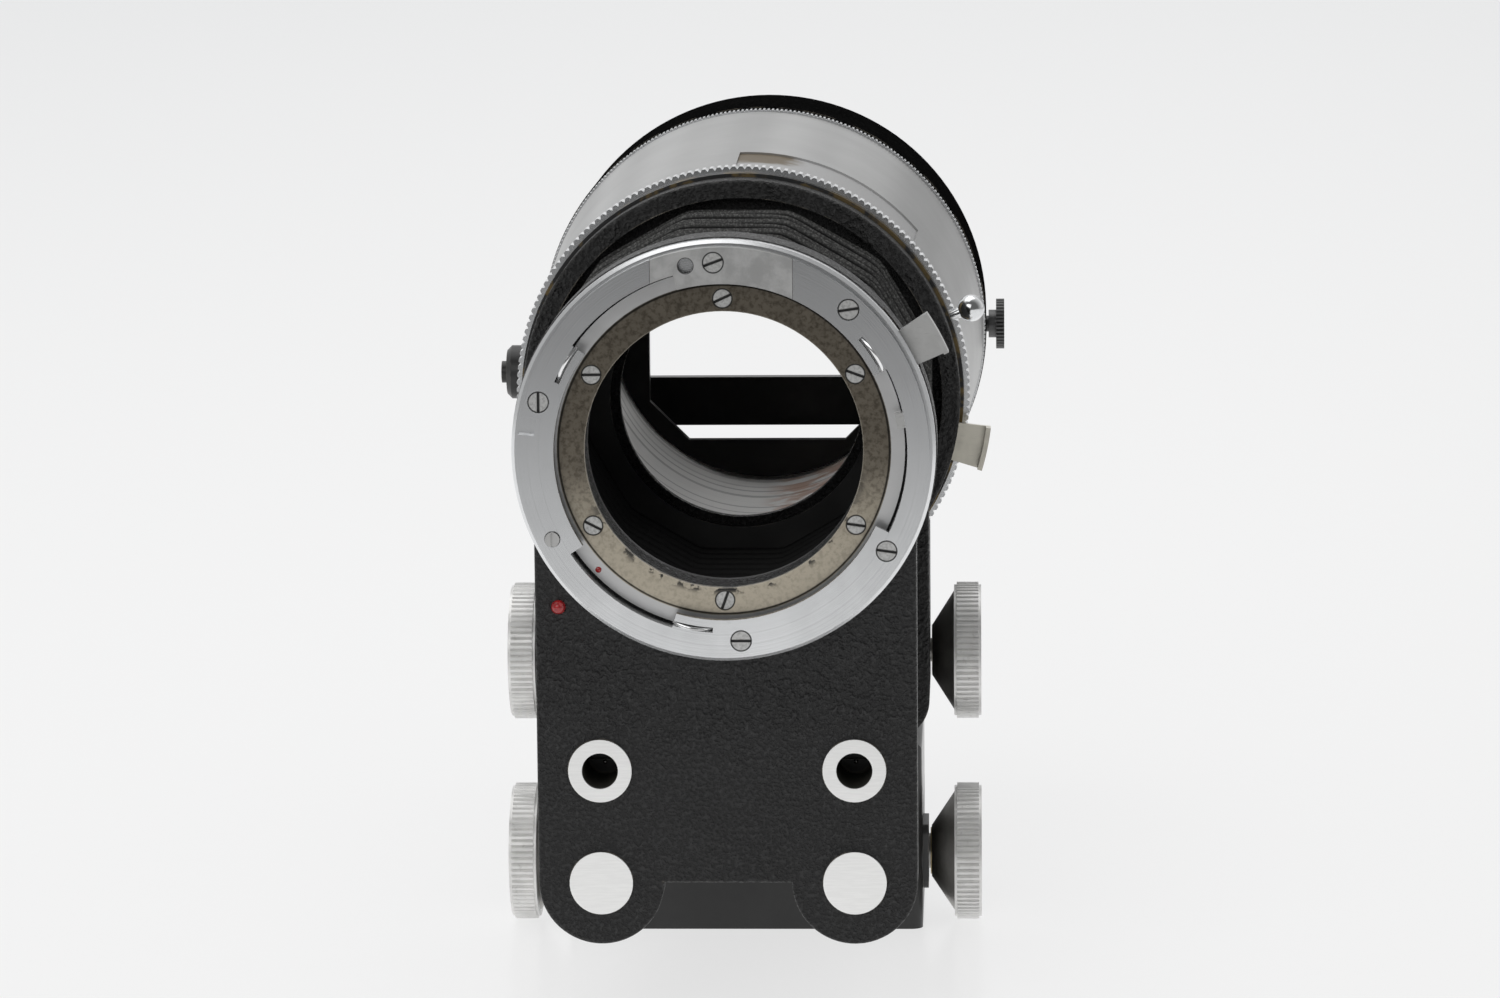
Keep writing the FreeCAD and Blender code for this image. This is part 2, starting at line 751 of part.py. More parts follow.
def pleated_solid(shrink):
    """A closed many-sided solid whose sections swell and draw in once per pleat."""
    start = plate_back_y + bellows_frame_thickness
    end = recess_floor_y - bellows_frame_thickness
    half_pitch = (end - start) / (2 * bellows_pleats)
    sections = []
    for index in range(2 * bellows_pleats + 1):
        radius = (bellows_valley_radius, bellows_peak_radius)[index % 2] - shrink
        y = start + index * half_pitch
        corners = []
        for side in range(bellows_sides + 1):
            x, z = polar(radius, 360.0 * (side + 0.5) / bellows_sides)
            corners.append(vec(x, y, z))
        sections.append(Part.makePolygon(corners))
    return Part.makeLoft(sections, True, True)


def bellows():
    return pleated_solid(0.0).cut(pleated_solid(bellows_wall))


def bellows_frame(front_y, back_y):
    return ring_y(bellows_frame_radius, plate_bore_radius, front_y, back_y)


def rear_standard():
    half = rear_body_half_width
    body = box(-half, half, rim_front_y, rear_body_back_y, axis_height - rear_body_drop, axis_height)
    low = edges_where(body, lambda e: runs_along(e, 1) and e.BoundBox.ZMax < axis_height - 1)
    body = body.makeFillet(rear_body_corner, low)
    cradle = rod_y(grip_ring_radius + 0.5, rim_back_y, rear_body_back_y)
    body = body.cut(cradle)
    body = join([body, rod_y(rim_radius, rim_front_y, rim_back_y), rod_y(spigot_radius, rim_back_y, spigot_end_y)])
    rim = edges_where(body, lambda e: lies_in_y(e, rim_front_y))
    body = body.makeFillet(rear_edge, rim)
    tools = [
        rod_y(rim_recess_radius, rim_front_y, recess_floor_y),
        rod_y(rear_aperture_radius, recess_floor_y, rim_back_y),
        rod_y(spigot_bore_radius, rim_back_y, spigot_end_y),
        rod_x(rear_shaft_bore, -half, half, rear_shaft_y, rear_shaft_z),
        lever_slot(rear_lever_start - lever_travel, rear_lever_end, rear_lever_inner_radius,
                   rim_front_y + rear_lever_setback),
    ]
    for side in (-1, 1):
        tools.append(rod_y(tube_bush_radius, rim_front_y, rear_body_back_y, side * rail_x, tube_z))
    return cut_all(body, tools)


def rear_bush(side):
    bush = ring_y(tube_bush_radius, tube_radius + running_gap, rim_front_y, rear_body_back_y, side * rail_x, tube_z)
    return bush.cut(rod_x(rear_shaft_bore, -rear_body_half_width, rear_body_half_width, rear_shaft_y, rear_shaft_z))


def rear_bearing():
    plug = rod_x(rear_shaft_bore, rear_body_half_width - bearing_length, rear_body_half_width, rear_shaft_y, rear_shaft_z)
    return plug.cut(rod_x(rear_shaft_radius + running_gap, 0, knob_outer_x, rear_shaft_y, rear_shaft_z))


def barrel_retainer():
    return ring_y(retainer_radius, spigot_bore_radius, spigot_end_y, retainer_end_y)


def clamp_ring():
    return ring_y(clamp_radius, spigot_radius + face_gap, clamp_front_y, clamp_back_y)


def clamp_lever():
    """A tapered pin that stands out from the clamp ring and ends in a ball."""
    x0, z0 = polar(clamp_radius, ball_angle)
    x1, z1 = polar(ball_reach, ball_angle)
    y = (clamp_front_y + clamp_back_y) / 2
    neck = Part.makeCone(ball_neck_radius, ball_neck_end_radius, ball_reach - clamp_radius,
                         vec(x0, y, z0), vec(x1 - x0, 0, z1 - z0))
    return join([neck, Part.makeSphere(ball_radius, vec(x1, y, z1))])


def barrel_grip_ring():
    root = grip_ring_radius - grip_tooth_depth
    return fluted_ring_y(grip_ring_radius, root, grip_teeth, grip_ring_seat_radius, grip_front_y, barrel_front_y)


def barrel_shell():
    """The satin outer barrel: a slow taper, with a nose that turns on the rear standard's spigot."""
    nose = rod_y(grip_ring_seat_radius, grip_front_y, barrel_front_y)
    taper = cone_y(barrel_front_radius, barrel_rear_radius, barrel_front_y, barrel_back_y)
    tail = rod_y(end_spigot_radius, barrel_back_y, barrel_back_y + end_spigot_length)
    shell = join([nose, taper, tail])
    step_y = spigot_end_y - seat_gap
    tools = [
        rod_y(spigot_radius + running_gap, grip_front_y, step_y),
        rod_y(barrel_bore_radius, step_y, barrel_back_y + end_spigot_length),
        rod_x(small_stem_radius + running_gap, -barrel_rear_radius, 0, small_knob_y(), axis_height),
        barrel_recess(),
    ]
    return cut_all(shell, tools)


def small_knob_y():
    return barrel_front_y + small_knob_setback


def barrel_radius_at(y):
    share = (y - barrel_front_y) / barrel_length
    return barrel_front_radius + (barrel_rear_radius - barrel_front_radius) * share


def barrel_recess():
    """The shallow milled window round the upper right of the barrel's front end."""
    end = barrel_front_y + barrel_recess_length
    block = sector(barrel_bore_radius, barrel_rear_radius + 2, barrel_recess_start, barrel_recess_end,
                   barrel_front_y, end)
    floor = cone_y(barrel_front_radius - barrel_recess_depth, barrel_radius_at(end) - barrel_recess_depth,
                   barrel_front_y, end)
    return block.cut(floor)


def barrel_sleeve():
    """The bare inner tube, held in the shell by a land at each end."""
    tube = rod_y(sleeve_bore_radius + sleeve_wall, sleeve_front_y, window_front_y)
    front = rod_y(barrel_bore_radius, sleeve_front_y, sleeve_front_y + sleeve_front_land)
    back = rod_y(barrel_bore_radius, window_front_y - sleeve_rear_land, window_front_y)
    return join([tube, front, back]).cut(rod_y(sleeve_bore_radius, sleeve_front_y, window_front_y))


def end_lock_ring():
    root = lock_ring_radius - lock_ring_tooth_depth
    return fluted_ring_y(lock_ring_radius, root, lock_ring_teeth, end_spigot_radius + running_gap,
                         lock_ring_front_y, lock_ring_front_y + lock_ring_length)


def end_housing():
    housing = rod_y(housing_radius, housing_front_y, housing_back_y)
    rims = edges_where(housing, lambda e: lies_in_y(e, housing_back_y))
    housing = housing.makeFillet(housing_edge, rims)
    bore = rod_y(end_spigot_radius, housing_front_y, housing_back_y)
    hole = rod_x(small_stem_radius + running_gap, 0, housing_radius, thumb_screw_y(), axis_height)
    return cut_all(housing, [bore, hole])


def thumb_screw_y():
    return housing_front_y + thumb_screw_setback


def window_plate():
    half = window_size / 2
    corner = half - window_chamfer
    outline = [(half, corner), (corner, half), (-corner, half), (-half, corner),
               (-half, -corner), (-corner, -half), (corner, -half), (half, -corner)]
    plate = rod_y(end_spigot_radius, window_front_y, window_back_y)
    points = [vec(x, window_front_y, axis_height + z) for x, z in outline]
    return plate.cut(prism(points, vec(0, window_plate_thickness, 0)))


def gate_bar(side):
    """One of the two bars across the far end, above (1) or below (-1) the clear gate."""
    inner = axis_height + side * gate_height / 2
    outer = inner + side * gate_bar_height
    bar = box(-end_spigot_radius, end_spigot_radius, gate_back_y - gate_bar_thickness, gate_back_y,
              min(inner, outer), max(inner, outer))
    return bar.common(rod_y(end_spigot_radius, gate_back_y - gate_bar_thickness, gate_back_y))


def barrel_knob():
    """The black button-headed screw on the left of the barrel."""
    y = small_knob_y()
    seat = -barrel_radius_at(y) - small_screw_stand_off
    head = rod_x(small_knob_radius, seat - small_knob_thickness, seat, y, axis_height)
    outer = edges_where(head, lambda e: e.BoundBox.XMax < seat - small_knob_thickness + 0.1)
    head = head.makeChamfer(small_knob_chamfer, outer)
    button_x = seat - small_knob_thickness - small_knob_button
    button = rod_x(small_knob_button_radius, button_x, seat, y, axis_height)
    stem = rod_x(small_stem_radius, seat, -barrel_bore_radius, y, axis_height)
    return join([head, button, stem])


def thumb_screw():
    """The thin-headed screw on the right of the end housing."""
    y = thumb_screw_y()
    seat = housing_radius + small_screw_stand_off
    collar = rod_x(thumb_screw_collar_radius, seat, seat + thumb_screw_collar, y, axis_height)
    stem = rod_x(small_stem_radius, end_spigot_radius + seat_gap, seat, y, axis_height)
    root = small_knob_radius - thumb_screw_tooth_depth
    head_x = seat + thumb_screw_collar
    teeth = toothed_outline(small_knob_radius, root, thumb_screw_teeth)
    head = prism([vec(head_x, y + u, axis_height + v) for u, v in teeth], vec(thumb_screw_thickness, 0, 0))
    return join([head, collar, stem])


def build_carriage():
    save("carriage_block", carriage_block())
    save("tripod_bush", tripod_bush())
    save("rail_bush_left", rail_bush(-1))
    save("rail_bush_right", rail_bush(1))
    save("rail_bearing_right", rail_bearing())
    save("rail_bearing_left", mirrored(rail_bearing()))


def build_knobs(name, neck_x, neck_radius, shaft_radius, y, z):
    knob = focus_knob(neck_x, neck_radius, shaft_radius, y, z)
    grub = grub_screw(neck_x, neck_radius - grub_sink, shaft_radius, y, z)
    save(name + "_knob_right", knob)
    save(name + "_knob_left", mirrored(knob))
    save(name + "_knob_screws", Part.makeCompound([grub, mirrored(grub)]))


def build_drives():
    save("rail_pinion", pinion_shaft(rail_pinion_teeth, rail_shaft_radius, carriage_shaft_y, rail_shaft_z, 1))
    rail_neck = carriage_width / 2 + bearing_flange + seat_gap
    build_knobs("rail", rail_neck, rail_knob_neck_radius, rail_shaft_radius, carriage_shaft_y, rail_shaft_z)
    save("rear_pinion", pinion_shaft(rear_pinion_teeth, rear_shaft_radius, rear_shaft_y, rear_shaft_z, -1))
    rear_neck = rear_body_half_width + seat_gap
    build_knobs("rear", rear_neck, rear_knob_neck_radius, rear_shaft_radius, rear_shaft_y, rear_shaft_z)


def build_front():
    save("front_plate", front_plate())
    save("rail_rod_left", rail_rod(-1))
    save("rail_rod_right", rail_rod(1))
    save("guide_tube_left", guide_tube(-1))
    save("guide_tube_right", guide_tube(1))
    save("tube_plugs", Part.makeCompound([tube_plug(-1), tube_plug(1)]))
    save("tie_plate", tie_plate())
    save("tie_plate_screws", Part.makeCompound([tie_screw(x, z) for x, z in rail_ends()]))
    save("mount_flange", mount_flange())
    save("bayonet_ring", bayonet_ring())
    save("bayonet_insert", bayonet_insert())
    save("bayonet_screws", bayonet_screws())
    save("bayonet_stop", stop_block())
    save("throat_ring", throat_ring())
    save("throat_screws", throat_screws())
    save("index_bead", index_bead())
    save("lens_lock_pin", lock_pin())
    save("lens_release_lever", release_lever(lever_start, lever_end, lever_inner_radius, lever_outer_radius, plate_front_y))
    save("lens_release_spring", leaf_spring(lever_end + lever_travel, lever_inner_radius, plate_front_y))


def build_bellows():
    save("bellows", bellows())
    save("bellows_front_frame", bellows_frame(plate_back_y, plate_back_y + bellows_frame_thickness))
    save("bellows_rear_frame", bellows_frame(recess_floor_y - bellows_frame_thickness, recess_floor_y))


def build_rear():
    save("rear_standard", rear_standard())
    save("rear_bush_left", rear_bush(-1))
    save("rear_bush_right", rear_bush(1))
    save("rear_bearing_right", rear_bearing())
    save("rear_bearing_left", mirrored(rear_bearing()))
    save("barrel_retainer", barrel_retainer())
    save("clamp_ring", clamp_ring())
    save("clamp_lever", clamp_lever())
    slot_y = rim_front_y + rear_lever_setback
    save("rear_release_lever", release_lever(rear_lever_start, rear_lever_end, rear_lever_inner_radius,
                                             rear_lever_outer_radius, slot_y))


def build_barrel():
    save("barrel_grip_ring", barrel_grip_ring())
    save("barrel_shell", barrel_shell())
    save("barrel_sleeve", barrel_sleeve())
    save("end_lock_ring", end_lock_ring())
    save("end_housing", end_housing())
    save("window_plate", window_plate())
    save("gate_bar_lower", gate_bar(-1))
    save("gate_bar_upper", gate_bar(1))
    save("barrel_knob", barrel_knob())
    save("thumb_screw", thumb_screw())


os.makedirs("parts", exist_ok=True)
build_carriage()
build_drives()
build_front()
build_bellows()
build_rear()
build_barrel()
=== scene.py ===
"""Looks for a macro bellows unit: finishes, folded bellows, small pieces, floor, lights and camera."""

import math

import bmesh
import bpy
import numpy as np
from mathutils import Matrix, Vector


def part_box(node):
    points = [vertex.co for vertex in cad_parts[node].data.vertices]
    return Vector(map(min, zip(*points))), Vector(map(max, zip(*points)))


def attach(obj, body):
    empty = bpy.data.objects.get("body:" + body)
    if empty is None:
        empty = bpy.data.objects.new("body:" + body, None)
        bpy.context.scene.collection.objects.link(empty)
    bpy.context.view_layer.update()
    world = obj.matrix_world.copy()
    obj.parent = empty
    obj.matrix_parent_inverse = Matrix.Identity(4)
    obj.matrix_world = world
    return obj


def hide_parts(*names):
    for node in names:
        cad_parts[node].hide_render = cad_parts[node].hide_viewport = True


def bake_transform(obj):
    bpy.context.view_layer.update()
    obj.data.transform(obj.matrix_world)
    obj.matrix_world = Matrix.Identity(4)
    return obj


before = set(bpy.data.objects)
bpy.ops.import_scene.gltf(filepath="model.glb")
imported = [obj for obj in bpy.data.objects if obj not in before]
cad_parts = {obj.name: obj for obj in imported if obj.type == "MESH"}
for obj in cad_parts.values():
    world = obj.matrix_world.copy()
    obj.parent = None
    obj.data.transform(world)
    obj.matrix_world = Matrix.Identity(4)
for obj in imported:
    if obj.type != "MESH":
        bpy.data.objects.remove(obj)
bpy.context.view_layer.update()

bl_info = {
    "name": "Macro bellows unit",
    "version": (1, 0, 0),
    "blender": (4, 5, 0),
    "location": "View3D > Sidebar > Macro bellows",
    "description": "Dresses the macro bellows unit with its finishes, bellows and stage",
    "category": "Object",
}

# Angle from the right in degrees, distance from the axis and radius of each round hole in the bayonet ring.
RING_HOLES = (
    (92.4, 0.02965, 0.0016), (48.6, 0.02965, 0.0016), (-31.4, 0.02965, 0.0016), (-85.0, 0.02965, 0.0016),
    (164.3, 0.02965, 0.0016), (206.8, 0.02985, 0.00115), (100.7, 0.02965, 0.0012),
)

# Ends of the soft edges between one finish and the next, and of painted light and shade, in metres.
LUMPY_BAND = (0.047, 0.064, 0.005)
PLATE_FACE = (-0.0825, -0.0832)
SOCKET_WALL = (0.00295, 0.00288)
SOCKET_MOUTH = (-0.0836, -0.0832)
FLANK_HIGHLIGHT = (0.02985, 0.0299)
FLANK_FOOT = (0.0193, 0.0197)
KNOB_RIM = (0.0352, 0.0354)
KNOB_NECK = (0.0334, 0.0330)
CONE_SHADE = (0.0345, 0.0318)
THROAT_SEAT = (0.0260, 0.0261)
THROAT_JOINT = (0.02565, 0.02595, 0.0001)
THROAT_LIP = (0.0232, 0.0220)
THROAT_SCREW_CIRCLE = 0.0237
RECESS_TURN = (40 / 360, 92 / 360, 0.0004)
RECESS_RUN = (-0.0098, 0.0140, 0.0001)

# The mount's leaf springs: their circle, sway off it, place, rise, section and arc in degrees.
SPRING_CIRCLE = 0.02785
SPRING_SWAY = 0.00035
SPRING_BACK = -0.0868
SPRING_RISE = 0.0009
SPRING_WIDTH = 0.00084
SPRING_THICKNESS = 0.00032
SPRING_ARC = 13.0

# The knobs' cones: reach at the neck and at the rim, and how far out they end.
CONE_SMALL = 0.0044
CONE_LARGE = 0.01028
CONE_OUTER = 0.03552

# Places of the two lamps, and their widths and heights.
TOP_LIGHT_PLACE = (-0.15, 0.15, 1.15)
TOP_LIGHT_SIZE = (1.2, 0.9)
FRONT_LIGHT_PLACE = (-0.5, -1.3, 0.7)
FRONT_LIGHT_SIZE = (1.0, 0.8)

# Colours of dirt, joints and wear, and of painted highlights and shade.
JOINT = (0.02, 0.02, 0.02, 1.0)
BARE_METAL = (0.30, 0.27, 0.22, 1.0)
WORN_SATIN = (0.28, 0.26, 0.23, 1.0)
WARM_EDGE_HIGHLIGHT = (0.75, 0.70, 0.60, 1.0)
GRIME = (0.05, 0.045, 0.04, 1.0)
SOCKET_SHADE = (0.05, 0.047, 0.038, 1.0)
TARNISH = (0.05, 0.04, 0.03, 1.0)
FLUTE_GRIME = (0.16, 0.14, 0.11, 1.0)
NECK_SHADE = (0.055, 0.05, 0.04, 1.0)
BROWN_STAIN = (0.17, 0.135, 0.09, 1.0)
RUST = (0.42, 0.16, 0.045, 1.0)

# The barrel, the throat and the bellows share one axis, which runs along Y at this height.
BARREL_LOW, BARREL_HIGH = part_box("barrel_shell")
AXIS_Z = (BARREL_LOW[2] + BARREL_HIGH[2]) / 2
BELLOWS_LOW, BELLOWS_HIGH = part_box("bellows")
THROAT_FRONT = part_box("throat_ring")[0][1]
PLUGS_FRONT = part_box("tube_plugs")[0][1]
TUBE_LOW, TUBE_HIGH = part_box("guide_tube_right")
TUBE_X = (TUBE_LOW[0] + TUBE_HIGH[0]) / 2
TUBE_Z = (TUBE_LOW[2] + TUBE_HIGH[2]) / 2


class Wire:
    """One output of a node. Arithmetic on it adds Math nodes."""

    def __init__(self, paint, socket):
        self.paint = paint
        self.socket = socket

    def maths(self, operation, *values):
        return self.paint.node("ShaderNodeMath", values, operation=operation)

    def __add__(self, other):
        return self.maths("ADD", self, other)

    __radd__ = __add__

    def __sub__(self, other):
        return self.maths("SUBTRACT", self, other)

    def __rsub__(self, other):
        return self.maths("SUBTRACT", other, self)

    def __mul__(self, other):
        return self.maths("MULTIPLY", self, other)

    __rmul__ = __mul__

    def __truediv__(self, other):
        return self.maths("DIVIDE", self, other)

    def __gt__(self, other):
        return self.maths("GREATER_THAN", self, other)

    def __lt__(self, other):
        return self.maths("LESS_THAN", self, other)

    def __abs__(self):
        return self.maths("ABSOLUTE", self)

    def __pow__(self, other):
        return self.maths("POWER", self, other)

    def larger(self, other):
        return self.maths("MAXIMUM", self, other)

    def rise(self, low, high):
        """0 below low, 1 above high and smooth between them. With high under low it falls instead."""
        ends = {"Value": self, "From Min": low, "From Max": high}
        return self.paint.node("ShaderNodeMapRange", ends, interpolation_type="SMOOTHSTEP")

    def between(self, low, high, soft):
        """1 from low to high, and 0 outside, with soft edges."""
        return self.rise(low - soft, low + soft) * self.rise(high + soft, high - soft)


class Paint:
    """A material under way: one Principled shader, and the nodes that feed it."""

    def __init__(self, name):
        self.material = bpy.data.materials.new(name)
        self.material.use_nodes = True
        self.tree = self.material.node_tree
        self.tree.nodes.clear()
        self.shader = self.tree.nodes.new("ShaderNodeBsdfPrincipled")
        self.end = self.tree.nodes.new("ShaderNodeOutputMaterial")
        self.tree.links.new(self.shader.outputs[0], self.end.inputs[0])
        self.place = self.node("ShaderNodeTexCoord", outlet="Object")

    def node(self, kind, sockets=(), outlet=0, **settings):
        """Adds a node: first its settings, then the values or wires of its sockets."""
        made = self.tree.nodes.new(kind)
        for key, value in settings.items():
            setattr(made, key, value)
        pairs = sockets.items() if isinstance(sockets, dict) else enumerate(sockets)
        for key, value in pairs:
            self.feed(made.inputs[key], value)
        return Wire(self, made.outputs[outlet])

    def feed(self, socket, value):
        if isinstance(value, Wire):
            self.tree.links.new(value.socket, socket)
        else:
            socket.default_value = value

    def set(self, **values):
        """Sets the shader's sockets by name, with _ for a space."""
        for key, value in values.items():
            self.feed(self.shader.inputs[key.replace("_", " ")], value)
        return self

    def mix(self, mask, off, on):
        """Colour off where mask is 0, and colour on where it is 1."""
        return self.node("ShaderNodeMix", {0: mask, 6: off, 7: on}, outlet=2, data_type="RGBA")

    def spread(self, wire, low, high):
        """Number low where wire is 0, and high where it is 1."""
        return wire * (high - low) + low

    def noise(self, size, detail=2.0, rough=0.5, at=None):
        """Soft noise from 0 to 1, with blobs of about that size in metres."""
        return self.node(
            "ShaderNodeTexNoise",
            {"Vector": at or self.place, "Scale": 1.0 / size, "Detail": detail, "Roughness": rough},
        )

    def pebbles(self, size, at=None):
        """Distance to the nearest of many scattered points, of about that size in metres."""
        return self.node("ShaderNodeTexVoronoi", {"Vector": at or self.place, "Scale": 1.0 / size})

    def stretched(self, x, y, z):
        """Object coordinates drawn out, so that noise on them runs in streaks."""
        return self.node("ShaderNodeMapping", {"Vector": self.place, "Scale": (x, y, z)})

    def parts(self):
        """The X, Y and Z of the place, as three wires."""
        split = self.tree.nodes.new("ShaderNodeSeparateXYZ")
        self.feed(split.inputs[0], self.place)
        return [Wire(self, output) for output in split.outputs]

    def round_axis(self):
        """Distance from the long axis, and the angle about it in turns."""
        across, _, height = self.parts()
        up = height - AXIS_Z
        reach = (across * across + up * up) ** 0.5
        return reach, self.node("ShaderNodeMath", (up, across), operation="ARCTAN2") / math.tau

    def edge(self, reach, gain=6.0):
        """Near 1 along sharp edges, where a bevelled normal turns away from the real one."""
        bevel = self.node("ShaderNodeBevel", {"Radius": reach}, samples=4)
        normal = self.node("ShaderNodeNewGeometry", outlet="Normal")
        same = self.node("ShaderNodeVectorMath", (bevel, normal), outlet="Value", operation="DOT_PRODUCT")
        return ((1 - same) * gain).rise(0.0, 1.0)

    def bump(self, height, depth, strength=1.0):
        """Sends a height from 0 to 1 to the shader's normal, as relief of that depth in metres."""
        relief = self.node("ShaderNodeBump", {"Height": height, "Distance": depth, "Strength": strength})
        return self.set(Normal=relief)


def grey(value):
    return (value, value, value, 1.0)


def rgba(colour):
    return (colour[0], colour[1], colour[2], 1.0)


def shaded(colour, share):
    """A colour times a number, as a darker or paler shade of it."""
    return (colour[0] * share, colour[1] * share, colour[2] * share, 1.0)


def paint_nodes(material, *names):
    """Gives a material to the frame's own nodes."""
    for name in names:
        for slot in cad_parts[name].material_slots:
            slot.material = material


def wrinkle_enamel(name, colour, lumps, gloss):
    """Black wrinkle enamel: a fine crinkled grain, coarser with lumps, and bare metal on sharp edges."""
    paint = Paint(name)
    grain = paint.noise(0.0006, 3.0, 0.6)
    crease = grain.rise(0.36, 0.64)
    broad = paint.noise(0.0012, 2.0)
    _, y, z = paint.parts()
    zone = paint.noise(0.009, 1.0).rise(0.42, 0.6)
    if lumps:
        band = z.between(*LUMPY_BAND) * y.rise(*PLATE_FACE)
        zone = zone * 0.3 + band * 0.7
    height = crease * 0.4 + zone * broad.rise(0.42, 0.66) * 0.9
    worn = paint.edge(0.00035) * paint.noise(0.004).rise(0.44, 0.6)
    dust = paint.noise(0.0013, 2.0, 0.7).rise(0.62, 0.78)
    shade = paint.mix(crease, shaded(colour, 0.7), shaded(colour, 1.5))
    shade = paint.mix(dust * 0.16, shade, grey(0.12))
    shade = paint.mix(worn * 0.7, shade, BARE_METAL)
    paint.set(
        Base_Color=shade,
        Roughness=paint.spread(crease, 0.52, 0.34),
        Metallic=worn * 0.7,
        Specular_IOR_Level=gloss,
    )
    return paint.bump(height, 0.00045, 1.0).material


def satin_enamel(name, colour):
    """Smooth satin black enamel, a little dusty, with worn corners."""
    paint = Paint(name)
    haze = paint.noise(0.012, 3.0)
    fine = paint.noise(0.0005, 2.0)
    worn = paint.edge(0.0003) * paint.noise(0.003).rise(0.46, 0.62)
    shade = paint.mix(haze.rise(0.3, 0.75), rgba(colour), rgba([c * 1.7 + 0.004 for c in colour]))
    shade = paint.mix(worn * 0.6, shade, WORN_SATIN)
    paint.set(Base_Color=shade, Roughness=paint.spread(haze, 0.30, 0.46), Metallic=worn * 0.6)
    return paint.bump(fine, 0.00003, 0.5).material


def carriage_enamel(name, colour):
    """Satin black of the carriage, with a painted highlight of pale grey metal on the flanks of its upper
    part.
    """
    paint = Paint(name)
    x, _, z = paint.parts()
    haze = paint.noise(0.010, 3.0)
    fine = paint.noise(0.0004, 2.0, at=paint.stretched(1.0, 0.1, 1.0))
    # Painted highlight: the outer flanks of the upper part are painted pale grey metal, where a glossy side
    # catches light.
    flank_highlight = abs(x).rise(*FLANK_HIGHLIGHT) * z.rise(*FLANK_FOOT)
    shade = paint.mix(haze.rise(0.3, 0.75), rgba(colour), rgba([c * 1.7 + 0.004 for c in colour]))
    shade = paint.mix(flank_highlight, shade, paint.mix(fine, grey(0.40), grey(0.55)))
    paint.set(Base_Color=shade, Metallic=flank_highlight * 0.8, Roughness=paint.spread(haze, 0.32, 0.46))
    return paint.bump(fine, 0.00002, 0.5).material


def screw_outlines(paint):
    """1 on the thin dark joints round the ring's screws and plain hole, by distance from their middles."""
    x, _, z = paint.parts()
    joints = None
    for angle, circle, radius in RING_HOLES:
        across = x - circle * math.cos(math.radians(angle))
        up = z - (AXIS_Z + circle * math.sin(math.radians(angle)))
        joint = ((across * across + up * up) ** 0.5).between(radius - 0.00012, radius + 0.0001, 0.00005)
        joints = joint if joints is None else joints.larger(joint)
    return joints


def throat_outlines(paint, reach, turn):
    """1 on the dark joints round the six throat screws, which repeat every sixth of a turn."""
    sixth = paint.node("ShaderNodeMath", (turn * 6 + 9.0, 1.0), operation="FLOORED_MODULO")
    aside = (sixth - 0.5) / 6 * math.tau * reach
    out = reach - THROAT_SCREW_CIRCLE
    return ((aside * aside + out * out) ** 0.5).between(0.00138, 0.00162, 0.00006)


def turned_metal(name, colour, dark, rough, wear=0.0, joints=False):
    """Satin plated metal turned in a lathe: fine rings round the long axis, with soft cloudy wear and a
    painted highlight on sharp edges.
    """
    paint = Paint(name)
    reach, _ = paint.round_axis()
    _, y, _ = paint.parts()
    lines = paint.node("ShaderNodeCombineXYZ", (reach, y, 0.0))
    rings = paint.noise(0.00025, 2.0, 0.6, at=lines)
    cloud = paint.noise(0.011, 3.0, 0.6)
    spots = paint.noise(0.0016, 2.0, 0.7).rise(0.66, 0.76)
    edges = paint.edge(0.00025)
    shade = paint.mix(cloud.rise(0.3, 0.75), rgba(colour), shaded(colour, 0.90))
    shade = paint.mix(rings.rise(0.55, 0.8) * 0.3, shade, rgba(dark))
    shade = paint.mix(spots * (0.12 + wear), shade, rgba(dark))
    # Painted highlight: sharp edges are lightened to pale grey.
    shade = paint.mix(edges * 0.25, shade, grey(0.85))
    if joints:
        shade = paint.mix(screw_outlines(paint) * 0.9, shade, JOINT)
    paint.set(
        Base_Color=shade,
        Metallic=1.0,
        Roughness=paint.spread(cloud * 0.6 + rings * 0.4, rough - 0.06, rough + 0.10),
    )
    return paint.bump(rings, 0.000012, 0.5).material


def barrel_chrome(name, colour, dark):
    """The barrel's satin chrome, with painted reflection in dark bands along it. Its shallow milled recess is
    duller, and stained brown at the upper left.
    """
    paint = Paint(name)
    reach, turn = paint.round_axis()
    _, y, _ = paint.parts()
    lines = paint.node("ShaderNodeCombineXYZ", (reach, y, 0.0))
    rings = paint.noise(0.0003, 2.0, 0.6, at=lines)
    cloud = paint.noise(0.016, 3.0, 0.6)
    scratch = paint.noise(0.0009, 2.0, 0.6, at=paint.stretched(1.0, 14.0, 1.0)).rise(0.66, 0.74)
    slope = (BARREL_HIGH[2] - AXIS_Z) - reach
    recess = turn.between(*RECESS_TURN) * y.between(*RECESS_RUN) * (slope > 0.0005)
    stain = paint.noise(0.006, 3.0, 0.6) * turn.rise(66 / 360, 88 / 360) * y.rise(-0.004, 0.010)
    shade = paint.mix(cloud.rise(0.3, 0.75), rgba(colour), shaded(colour, 0.93))
    shade = paint.mix(rings.rise(0.5, 0.8) * 0.25, shade, rgba(dark))
    shade = paint.mix(scratch * 0.18, shade, grey(0.8))
    matte = paint.mix(stain.rise(0.12, 0.34), grey(0.46), BROWN_STAIN)
    shade = paint.mix(recess, shade, matte)
    # Painted reflection: dark bands along the barrel that change with the angle round it, left off the
    # recess.
    around = paint.node("ShaderNodeCombineXYZ", (turn, 0.0, 0.0))
    band = paint.noise(0.07, 1.0, at=around).rise(0.35, 0.65)
    shade = paint.mix(band * 0.5 * (1 - recess), shade, shaded(colour, 0.45))
    paint.set(
        Base_Color=shade,
        Metallic=0.55 - recess * 0.1,
        Roughness=paint.spread(cloud * 0.5 + rings * 0.5, 0.28, 0.42) + recess * 0.2,
        Specular_IOR_Level=0.3,
    )
    return paint.bump(rings, 0.000014, 0.5).material


